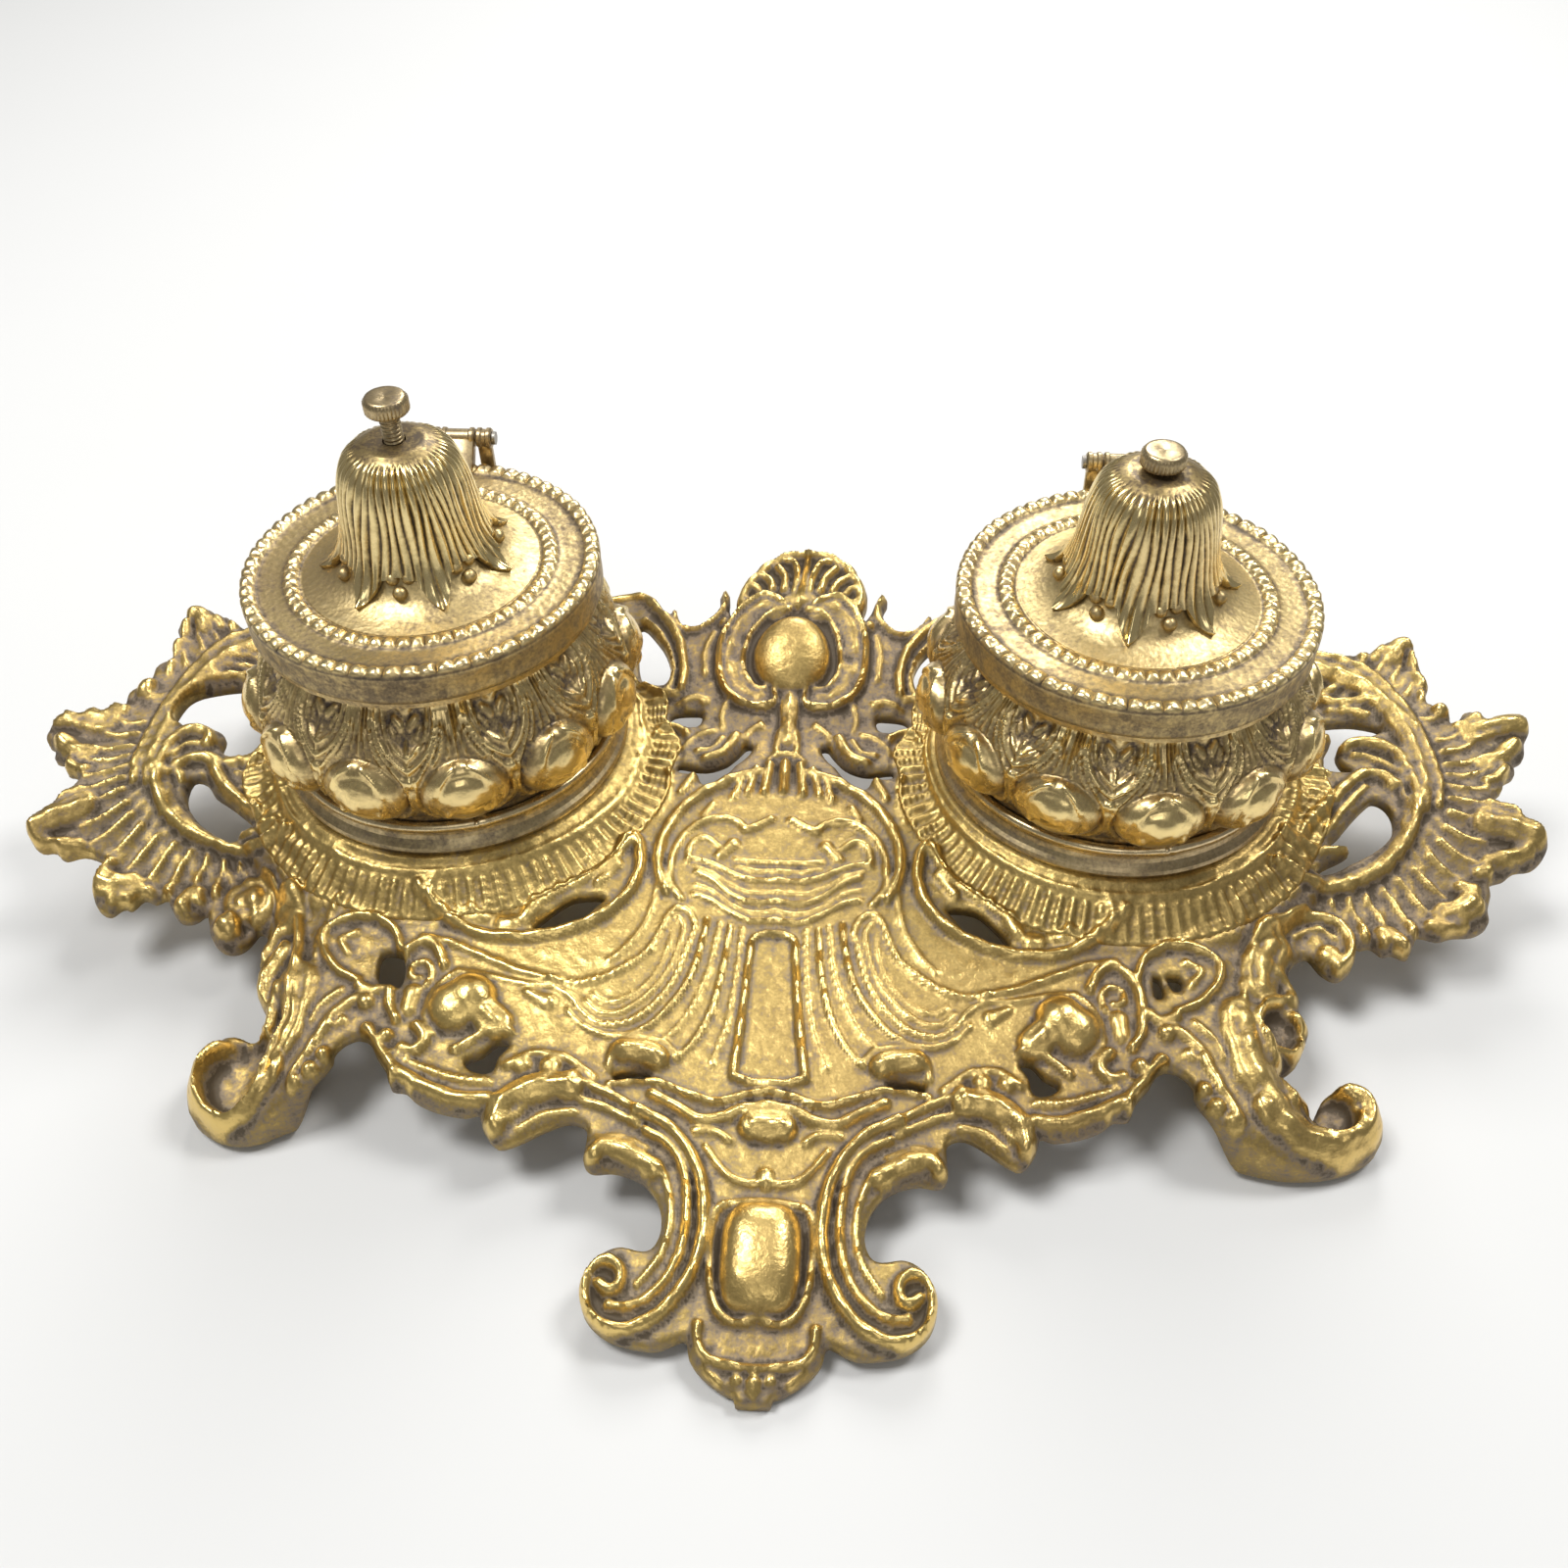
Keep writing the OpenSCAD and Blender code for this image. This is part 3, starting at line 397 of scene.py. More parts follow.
# ridges: half width at each end, height at each end, points; a last value of 1 cords the ridge
castRidges = [
    # wing ring
    (1.3, 1.2, 1.8, 1.6, [(104, 39.4), (113, 37.8), (121, 34.5), (128, 29), (133.5, 22), (138, 12.5),
     (140, 3), (140.3, -5), (139, -12)]),
    (2.9, 2.5, 2.2, 2.1, [(104, 35.6), (112, 34.4), (119, 31.2), (126, 25.6), (131.5, 19), (135.5, 10.5),
     (137.2, 2), (137, -6), (135, -12)]),
    (1.6, 1.3, 2.0, 1.7, [(134.6, -3), (134.9, -10), (133.5, -16), (130, -21.5), (124.5, -25.8), (117, -28.3),
     (110, -28.9), (103.6, -28)]),
    (0.9, 0.7, 1.1, 0.8, [(132.3, -7), (132.3, -14), (128.8, -20.5), (123, -24.8), (115, -27.3)]),
    (0.5, 0.4, 0.7, 0.5, [(108, -10), (112, -9.2), (116, -7)]),
    (0.5, 0.4, 0.7, 0.5, [(107.4, -13), (111.4, -12.6), (114.4, -10.6)]),
    (0.5, 0.4, 0.7, 0.5, [(106.4, -16), (109.4, -15.8), (112, -14.6)]),
    (0.5, 0.4, 0.7, 0.5, [(105, -18.4), (108, -18.6), (111, -17.6)]),
    # ripples of the leafage round the wing
    (0.7, 0.5, 1.0, 0.6, [(142.4, 5.6), (146, 6.6), (149.4, 9)]),
    (0.8, 0.6, 1.0, 0.7, [(142.8, 2.6), (147, 3.4), (151.6, 6)]),
    (0.8, 0.6, 1.0, 0.7, [(143, -0.6), (147, -0.4), (152, 1.6)]),
    (0.7, 0.6, 1.0, 0.7, [(142.6, -3.6), (146, -4.2), (151, -2.6)]),
    (0.7, 0.5, 0.9, 0.6, [(142, -6.6), (145.6, -7.8), (150, -7.4)]),
    (0.8, 0.6, 1.0, 0.7, [(141.6, -10.4), (145, -11), (149.6, -12)]),
    (0.8, 0.6, 1.1, 0.7, [(141, -13.6), (144.6, -14.6), (148.6, -16)]),
    (0.8, 0.6, 1.0, 0.7, [(139.8, -16.8), (143, -18.6), (147.6, -19.8)]),
    (0.7, 0.6, 1.0, 0.6, [(138.4, -19.4), (141.4, -21.8), (145.6, -23.6)]),
    (0.7, 0.5, 0.9, 0.6, [(135.8, -22), (139, -25), (142.4, -26.6)]),
    (0.8, 0.6, 1.0, 0.7, [(132.6, -24.6), (135.6, -28), (138.8, -30.4)]),
    (0.8, 0.6, 1.0, 0.7, [(129.6, -26.6), (132, -30.4), (134.8, -33.4)]),
    (0.7, 0.6, 1.0, 0.7, [(126.4, -28.4), (128.4, -32), (130.4, -35.4)]),
    (0.7, 0.6, 1.0, 0.7, [(122.8, -29.8), (124.4, -33.6), (125.6, -36.4)]),
    (0.7, 0.6, 0.9, 0.7, [(119, -30.6), (120.2, -34.4), (121.2, -37)]),
    (0.6, 0.5, 0.8, 0.6, [(115.4, -31), (116.4, -33.6)]),
    (0.6, 0.5, 0.8, 0.5, [(140.4, 12), (143, 11.6), (146, 12)]),
    (0.7, 0.6, 0.9, 0.6, [(138.4, 18.4), (140.6, 22), (141.6, 25.6)]),
    (0.7, 0.6, 1.0, 0.7, [(136, 22.6), (138.6, 26.4), (139.6, 29.4)]),
    (0.7, 0.6, 1.0, 0.7, [(133.4, 25.4), (135.8, 28.6), (136.8, 31)]),
    (0.6, 0.5, 0.9, 0.6, [(130.6, 27.8), (132.4, 30)]),
    # turned-over leaf tips
    (3.4, 2.6, 1.9, 2.6, [(150.4, 8), (155, 9.6), (160.6, 10.2)]),
    (2.3, 1.9, 1.7, 2.3, [(151.4, -0.6), (155, 1.4), (158.4, 4.6)]),
    (1.5, 1.3, 1.5, 1.7, [(150.4, -5.6), (153, -4.6), (155, -2)]),
    (1.5, 1.4, 1.3, 1.6, [(148.8, 9.4), (151, 11.4), (152.4, 12)]),
    (1.9, 1.8, 2.2, 2.2, [(144.6, 13.6), (145, 13.6)]), (1.2, 1.2, 1.4, 1.4, [(147.6, 9.6), (147.8, 9.6)]),
    (3.4, 3.0, 1.9, 2.8, [(148.6, -15.8), (152.6, -16.8), (157, -18.6)]),
    (1.8, 1.6, 1.7, 2.1, [(147.6, -23.8), (151.6, -22.8), (155.8, -21.4)]),
    (1.4, 1.3, 1.3, 1.7, [(149.8, -11.6), (152.6, -12.4), (155.4, -14)]),
    (1.2, 1.1, 1.2, 1.4, [(145.4, -25.4), (147.4, -25.6)]),
    (2.9, 2.9, 2.0, 2.8, [(137.6, -34), (140.4, -33.6), (143, -32)]),
    (1.6, 1.5, 1.5, 1.7, [(141.6, -28.4), (144.4, -29)]),
    (1.4, 1.3, 1.3, 1.5, [(134.4, -36), (137.6, -37), (141, -36.6)]),
    (1.9, 1.8, 1.5, 1.9, [(126.6, -38), (128.2, -40.6)]),
    (1.5, 1.4, 1.2, 1.5, [(124.2, -37.6), (124.8, -39.8)]),
    (1.3, 1.2, 1.2, 1.4, [(130.6, -36), (131, -37.6)]), (1.2, 1.1, 1.1, 1.3, [(121, -37), (121.4, -38.6)]),
    (2.5, 2.2, 1.8, 2.5, [(137.4, 29.4), (139.4, 32), (141, 32.6)]),
    (1.6, 1.5, 1.4, 1.8, [(141.4, 27), (142, 29.4)]), (1.6, 1.4, 1.3, 1.6, [(134, 29.4), (135.6, 31.8)]),
    (1.5, 1.3, 1.2, 1.6, [(142.2, 21.4), (142.6, 23.6)]), (1.3, 1.2, 1.2, 1.4, [(130.8, 29.6), (131.6, 31)]),
    (1.2, 1.1, 1.2, 1.4, [(141.6, 17.4), (142, 18.6)]),
    # inner side of the leg, and the foot
    (5.4, 5.0, 2.2, 2.8, [(93, -62), (94, -70), (98, -78.4)]),
    (3.6, 2.4, 2.8, 3.2, [(96, -78.6), (102, -82), (109, -82.8), (114.2, -80.2), (116.4, -76), (115, -72.6),
     (112, -71.8)]), (0.9, 0.8, 1.6, 1.5, [(101, -78), (104.6, -80.4), (109.2, -80.6), (112.6, -78.6)]),
    (1.5, 1.5, 1.5, 1.5, [(83.4, -76.8), (83.6, -77)]), (1.7, 1.7, 1.7, 1.7, [(85.4, -79.8), (85.6, -80)]),
    (1.8, 1.8, 1.7, 1.7, [(88.6, -82.4), (88.8, -82.6)]),
    (1.2, 1.0, 1.3, 1.1, [(84, -70.6), (86, -74.6), (88, -78.4), (90, -82)]),
    (1.2, 1.2, 1.2, 1.2, [(86.4, -76.6), (86.6, -76.8)]),
    (1.3, 1.0, 1.1, 0.9, [(79, -64.8), (82.6, -67.6), (85, -71)]),
    (0.8, 0.7, 0.8, 0.7, [(83, -63.4), (86.6, -66.8), (88, -70)]),
    # cartouches of the front
    (1.0, 1.0, 1.4, 1.4, [(73.6, -60), (72.9, -55), (75, -50.2), (80, -47.8), (86, -48.2), (89.4, -50.6),
     (88.4, -55), (84.4, -59.4), (80, -61.4)]),
    (1.0, 0.8, 1.0, 0.8, [(82.6, -51), (85.4, -52.6), (83.4, -55.6)]),
    (1.8, 1.8, 1.8, 1.8, [(77.4, -65.8), (77.6, -66)]),
    (1.5, 1.2, 1.3, 1.2, [(74.6, -62.4), (76.4, -63.6), (79.6, -62.6)]),
    (1.1, 1.1, 1.0, 1.0, [(81.4, -69.6), (82, -70.4)]),
    (1.2, 1.1, 1.6, 1.5, [(63.6, -57.4), (65.8, -53.6), (69.2, -52.6), (72.2, -56), (73.2, -61), (72.8, -66),
     (70.8, -69.4)]),
    (0.8, 0.7, 1.2, 1.1, [(66.2, -62), (65.6, -59), (67.4, -57), (69.8, -57.8), (69.6, -60.2),
     (67.8, -60.4)]), (2.2, 1.6, 1.3, 1.0, [(68.6, -63.6), (69, -67)]),
    (5.6, 5.2, 3.8, 3.6, [(57.4, -64.6), (60, -66.4)]), (3.2, 3.6, 2.2, 2.6, [(51.6, -69.4), (56, -66)]),
    (1.0, 0.9, 1.3, 1.2, [(48.8, -71), (52, -70.8), (55.4, -72.6), (58.6, -75)]),
    (1.4, 1.3, 1.7, 1.6, [(66.4, -70.6), (64.4, -73), (66, -75.6), (68.6, -75)]),
    (1.6, 1.6, 2.0, 2.0, [(72, -73), (72.2, -73.4)]),
    (0.8, 0.8, 1.0, 1.0, [(60.6, -58.6), (64.6, -63), (65.4, -68.6), (63, -72)]),
    # front rail
    (1.6, 1.5, 1.9, 1.8, [(76, -71.6), (73.2, -75.4), (69.6, -79), (64, -82), (57, -84.4), (51, -84.4)]),
    (1.0, 1.0, 1.4, 1.3, [(70.4, -76), (64.4, -78.6), (57, -80.6), (51.4, -80.8)], 1),
    (1.5, 1.5, 2.1, 2.1, [(69, -80.4), (69.2, -80.6)]), (1.2, 1.2, 1.8, 1.8, [(65, -82.4), (65.2, -82.6)]),
    # scroll leaf over the apron
    (3.0, 2.2, 2.9, 2.6, [(37, -81.4), (43, -82), (48, -85), (49.2, -89.4)]),
    (1.1, 1.0, 1.6, 1.5, [(22.6, -86.4), (30, -82.4), (37, -80), (43.4, -80), (49.6, -84)]),
    (0.9, 0.8, 1.2, 1.1, [(24, -88), (31, -84.8), (38, -83.4), (43.6, -85), (46.6, -88.4)]),
    (0.8, 0.7, 0.9, 0.8, [(36, -86), (41, -86.8), (45, -89.6)]),
    (2.0, 2.0, 1.7, 1.7, [(40.6, -77.6), (41, -77.6)]), (1.5, 1.5, 1.2, 1.2, [(36, -78.9), (36.3, -78.9)]),
    (1.7, 1.7, 1.3, 1.3, [(45.6, -77.4), (46, -77.6)]),
    (1.0, 0.9, 1.1, 1.0, [(33, -79.4), (38, -75.8), (44, -75), (48.6, -77.6)]),
    (2.5, 2.4, 2.3, 2.3, [(21.3, -75), (24, -74), (28, -73.9)]),
    (0.8, 0.8, 0.9, 0.9, [(17.6, -74.4), (20.4, -71.8), (26, -71), (29.6, -73), (30.4, -77)]),
    # lip of the tray
    (0.9, 0.9, 1.5, 1.4, [(-1, -80.6), (4.6, -81.6), (9, -83), (14, -82.2), (19, -80.4), (24, -79.4),
     (30, -80.6)]),
    (1.2, 1.1, 1.5, 1.3, [(-1, -83.4), (4.6, -84.2), (8.6, -86), (13, -86.4), (17.6, -84), (22, -82)]),
    (3.3, 3.1, 2.5, 2.3, [(-2.6, -87.4), (2.6, -87.4)]),
    (0.8, 0.7, 1.0, 1.0, [(-1, -97.2), (2.6, -97.8), (6, -97), (8.4, -95), (11.4, -91.4)]),
    (1.8, 1.2, 1.2, 0.8, [(0, -96.4), (0, -98)]),
    (0.9, 0.8, 0.9, 0.8, [(7, -90), (10, -88.4), (13.6, -88.6)]),
    # big C-scrolls of the apron
    (1.4, 1.2, 2.4, 2.2, [(24.4, -85.6), (19.4, -87.8), (15.6, -91), (12.6, -95.6), (10.9, -101),
     (10.6, -108), (12.1, -114), (15.3, -119), (19.4, -122.4), (24.4, -123.7), (28.6, -122), (30.4, -118.4),
     (30, -114.4), (27.6, -112.4), (25, -113.4), (24.4, -116), (26, -117.6), (28, -116.4)]),
    (1.0, 1.0, 1.7, 1.6, [(22.6, -89), (18, -91.6), (15.2, -95.4), (13.9, -101), (13.9, -108), (15.6, -113.6),
     (18.8, -117.8), (22.6, -119.8), (26, -119.8)]),
    (0.8, 0.7, 1.1, 1.0, [(19, -96), (17, -101), (16.7, -106.4), (18, -111.4), (21.4, -116)]),
    (2.1, 1.8, 2.2, 2.2, [(20.6, -96), (25, -93.6), (29.6, -92.4), (31.6, -94)]),
    (0.8, 0.7, 0.9, 0.8, [(22, -92.4), (27, -90.4), (31.4, -90.6)]),
    # shield round the cabochon and the leaf under it
    (0.9, 0.9, 1.4, 1.4, [(-1, -120.2), (3, -121.6), (6.4, -120.4), (8.2, -117), (9, -112), (9, -106),
     (8, -102.4), (4, -101.4), (-1, -101)]),
    (0.9, 0.9, 1.7, 1.6, [(-1, -128.9), (4, -128.4), (8.2, -127.4), (10, -124.8), (10.2, -122)]),
    (1.5, 1.2, 1.6, 1.4, [(0, -131), (0, -132.2)]), (1.0, 1.0, 1.3, 1.3, [(2.6, -130.4), (3, -130.4)]),
    (0.9, 0.8, 0.9, 0.8, [(6, -131), (9, -128.8)]),
    # hood of the shell
    (1.5, 1.2, 1.7, 1.5, [(5.6, -8.4), (11.6, -10.6), (17.6, -14.6), (22.2, -20), (24.8, -27), (24.8, -33.6),
     (22.6, -39)]),
    (1.0, 0.9, 1.1, 1.0, [(2, -20.4), (7, -23.4), (9, -21.6), (13, -20.6), (17, -22), (20.5, -25.6),
     (22.2, -31), (22, -36.6), (19.4, -40.6)]),
    (0.8, 0.7, 0.8, 0.7, [(12.6, -27.8), (16, -25.4), (18.6, -27.4), (19, -31.4)]),
    (1.6, 1.2, 1.0, 0.9, [(9.6, -27), (12.4, -30)]), (1.4, 1.1, 2.1, 1.4, [(0, -6), (0, -13)]),
    (1.3, 1.0, 1.9, 1.3, [(3.3, -6.4), (4.2, -13.4)]), (1.2, 0.9, 1.6, 1.2, [(6.2, -7.6), (7.8, -14)]),
    (1.1, 0.8, 1.4, 1.0, [(8.6, -9), (10.6, -15)]),
    (0.8, 0.7, 1.2, 1.0, [(-1, -2.4), (2.6, -3), (4.2, -5.6)]),
    (1.1, 0.8, 0.9, 0.8, [(14.6, -17), (16.6, -20)]),
    # bands across the shell
    (0.6, 0.6, 0.9, 0.8, [(-1, -31.2), (5, -31.2), (9, -30.8)]),
    (0.65, 0.6, 1.0, 0.9, [(-1, -35.4), (5, -35.6), (9.4, -34.2), (14.4, -31.8), (19, -30.8)]),
    (0.5, 0.5, 0.6, 0.5, [(-1, -33.2), (5, -33.3), (9, -32.4)]),
    (0.5, 0.5, 0.6, 0.6, [(-1, -38), (5, -38.6), (9.4, -37), (14, -34), (17.6, -32.6)]),
    (0.65, 0.6, 1.0, 0.9, [(-1, -40.2), (4.6, -40.9), (8.6, -39.6), (13.4, -35.8), (17, -34)]),
    (0.5, 0.5, 0.6, 0.6, [(-1, -42.4), (4.6, -43.2), (9, -41.6), (13.4, -38.4), (17, -37)]),
    (0.65, 0.6, 1.1, 0.9, [(-1, -44.6), (4.6, -45.2), (9, -43.4), (13.4, -40.6), (17, -39.4)]),
    # ribs of the shell
    (0.8, 0.9, 1.2, 1.4, [(-1, -48), (2, -48), (4.2, -49.6), (4.7, -54), (5.2, -62), (6, -71), (6.8, -77.6)]),
    (0.9, 0.9, 1.3, 1.3, [(-1, -79), (3, -79), (6.8, -78)]),
    (0.8, 0.7, 0.9, 0.7, [(6.4, -47), (6.9, -57), (8.4, -68), (11, -75.6)], 1),
    (0.7, 0.6, 1.0, 0.8, [(8.9, -46.6), (9.7, -56), (11.6, -65), (14.6, -71.4), (18, -75)]),
    (0.8, 0.6, 0.9, 0.7, [(11, -46), (12, -54), (14, -61.4), (17.4, -68), (21, -71.6)], 1),
    (0.7, 0.6, 1.1, 0.9, [(13.6, -45), (14.4, -51), (16, -57.6), (19, -63.4), (24, -68.8), (30, -70.8),
     (35, -69.4), (39, -66)]),
    (0.8, 0.7, 1.2, 1.0, [(37.2, -65.2), (33, -68.4), (27.4, -67.8), (22.4, -63.6), (19, -58), (17.2, -51.6),
     (16, -47), (17.4, -43.6), (19.6, -42.6), (21.6, -44.4), (22.8, -48), (24.6, -52)], 1),
    (0.6, 0.6, 0.8, 0.7, [(36, -63.6), (33, -66.2), (28.4, -65.4), (23.6, -61.4), (20.4, -56.4),
     (18.6, -50.6), (18.3, -46.4), (19.6, -44.8)]),
    (0.6, 0.5, 0.6, 0.5, [(34.6, -62.4), (31.6, -63.8), (28, -62.6), (24.4, -59.6), (22, -55.6), (20.6, -50),
     (20.6, -47.4)]),
    (0.8, 0.9, 1.0, 1.1, [(24.6, -52.4), (28.6, -55.8), (33, -58.6), (38, -60), (43, -59.4)], 1),
    (0.9, 1.0, 1.2, 1.3, [(42, -59.8), (49.4, -57.8), (57, -54.8), (63.6, -52.4), (69, -51.6)]),
    (0.6, 0.6, 0.8, 0.7, [(37.4, -64.4), (41.4, -61.4), (49, -60.4), (56, -59), (60.4, -58.6)]),
    (1.6, 1.0, 0.9, 0.8, [(43, -64.4), (47, -62.4)]),
    # rim and leaf of the side dish
    (1.3, 1.2, 1.9, 1.7, [(29, -29.4), (28.6, -34), (30.4, -40), (35, -45.2), (41.4, -48.7), (49.4, -50.6),
     (57.6, -50.2), (64.6, -47.4), (70, -43.4)]),
    (1.9, 1.6, 2.2, 1.8, [(32, -27.6), (30.6, -26.6), (29.4, -28)]),
    (1.1, 1.0, 1.3, 1.1, [(32.6, -28.6), (34.4, -32), (38.4, -36), (43, -38.8), (46.4, -41.6)]),
    (1.6, 1.0, 1.0, 1.0, [(33.4, -33), (36.6, -37.4)]),
    (0.8, 0.7, 0.7, 0.6, [(26, -31), (24.6, -38), (26, -46), (29.4, -52), (32.4, -55)]),
    (2.0, 2.0, 1.0, 1.0, [(52, -47.6), (53.6, -47.8)]), (2.0, 2.0, 1.0, 1.0, [(58.6, -46.8), (60.4, -46.4)]),
    (1.6, 1.4, 1.2, 1.1, [(47.6, -42.4), (49.6, -46)]), (2.4, 1.2, 0.9, 0.8, [(68, -43), (71.6, -42.4)]),
    # crest: two C-scrolls round the dome, palmette above
    (3.2, 3.0, 1.7, 1.5, [(5, 32.6), (8.6, 33.4), (12, 30.8), (14, 26.6), (14.2, 21.6), (13, 17),
     (10.2, 13.6), (6.6, 12.6)]),
    (0.9, 0.9, 2.3, 2.1, [(3.6, 33.6), (8.6, 36.2), (13.4, 32.8), (16.2, 27.4), (16.7, 21.5), (15.4, 15.6),
     (11.6, 11.4), (6.6, 10), (3.2, 11.6), (4, 15)]),
    (0.8, 0.7, 1.9, 1.6, [(2, 32.6), (6.2, 31.4), (9.2, 28.4), (10.8, 24), (10.6, 18.6), (8.2, 15),
     (5.4, 14.2)]), (2.4, 2.0, 2.2, 1.7, [(0, 12.4), (0, 7), (0, 2)]),
    (1.3, 1.3, 1.2, 1.2, [(0, 7.6), (0, 7.9)]), (1.2, 0.8, 1.2, 0.9, [(1.6, 4), (2.2, 0), (2, -3.4)]),
    (1.7, 1.5, 2.6, 2.2, [(0.8, 49), (4.6, 48.8), (7.6, 46.8), (10.4, 44.2), (12.6, 40.6), (13.8, 37),
     (13.8, 34.6)]), (0.9, 0.9, 2.6, 2.8, [(0, 35.6), (0, 42), (0, 49)]),
    (1.1, 1.0, 2.0, 2.4, [(1.7, 37), (1.9, 42.4), (3.2, 46), (5, 46.6)]),
    (1.2, 1.1, 1.8, 2.2, [(4.2, 37.6), (4.8, 41.6), (6.8, 44.4)]),
    (1.2, 1.1, 1.7, 2.0, [(7, 37.8), (8, 40.4), (9.8, 42)]),
    (1.2, 1.0, 1.6, 1.8, [(9.6, 36.8), (10.8, 38.8), (12, 39.2)]),
    (1.1, 1.0, 1.5, 1.6, [(11.6, 35), (12.8, 36)]), (1.2, 1.2, 1.5, 1.5, [(16.6, 30.6), (16.8, 30.8)]),
    (2.2, 1.6, 2.0, 1.5, [(0, 34.6), (2.6, 35.2)]),
    (1.2, 1.1, 1.7, 1.6, [(24.8, 15.6), (24.6, 20), (26.4, 27), (30, 33), (34, 38.6), (38, 43.6), (44, 44.6),
     (52, 42.4)]), (0.9, 0.8, 1.2, 1.0, [(28, 15.8), (27.2, 20), (29, 26), (32.6, 31.6), (36.6, 36)]),
    (1.3, 1.1, 1.1, 1.0, [(26, 14.4), (29.6, 14.8), (33, 16.6)]),
    (0.9, 0.9, 1.6, 1.5, [(18.3, 39), (17.7, 36), (18.9, 32.8), (22.3, 30.4), (26.2, 30.8), (28.6, 34),
     (29.6, 37)]), (1.0, 0.8, 0.8, 0.6, [(18.6, 28.4), (20, 24), (19.6, 18.6)]),
    (1.2, 1.0, 0.9, 0.8, [(19, 12), (21.6, 13), (25, 11.6)]),
    # leafage between the crest and the shell
    (1.5, 1.2, 1.6, 1.5, [(11.4, 2.4), (14, -2.6), (17.6, -4.4)]),
    (1.0, 0.9, 1.1, 1.0, [(14.4, 2), (16.4, -1.4), (19.4, -2)]),
    (1.3, 1.0, 1.2, 1.0, [(19.6, -9.6), (22, -14)]),
    (1.1, 0.9, 1.1, 1.0, [(22.6, 3.6), (25.6, 5.8), (28.2, 4.8), (29.4, 2)]),
    (1.0, 0.9, 1.0, 0.8, [(6, 6), (9, 3.6), (9.6, 0)]),
    (1.0, 0.8, 0.8, 0.7, [(16.6, 4), (20, 2.6), (23, -1)]),
    (1.0, 0.7, 0.8, 0.6, [(25, -8), (24.4, -14), (26, -20)]),
    (0.9, 0.7, 0.8, 0.6, [(12, 16), (15, 9), (14.4, 5)])]
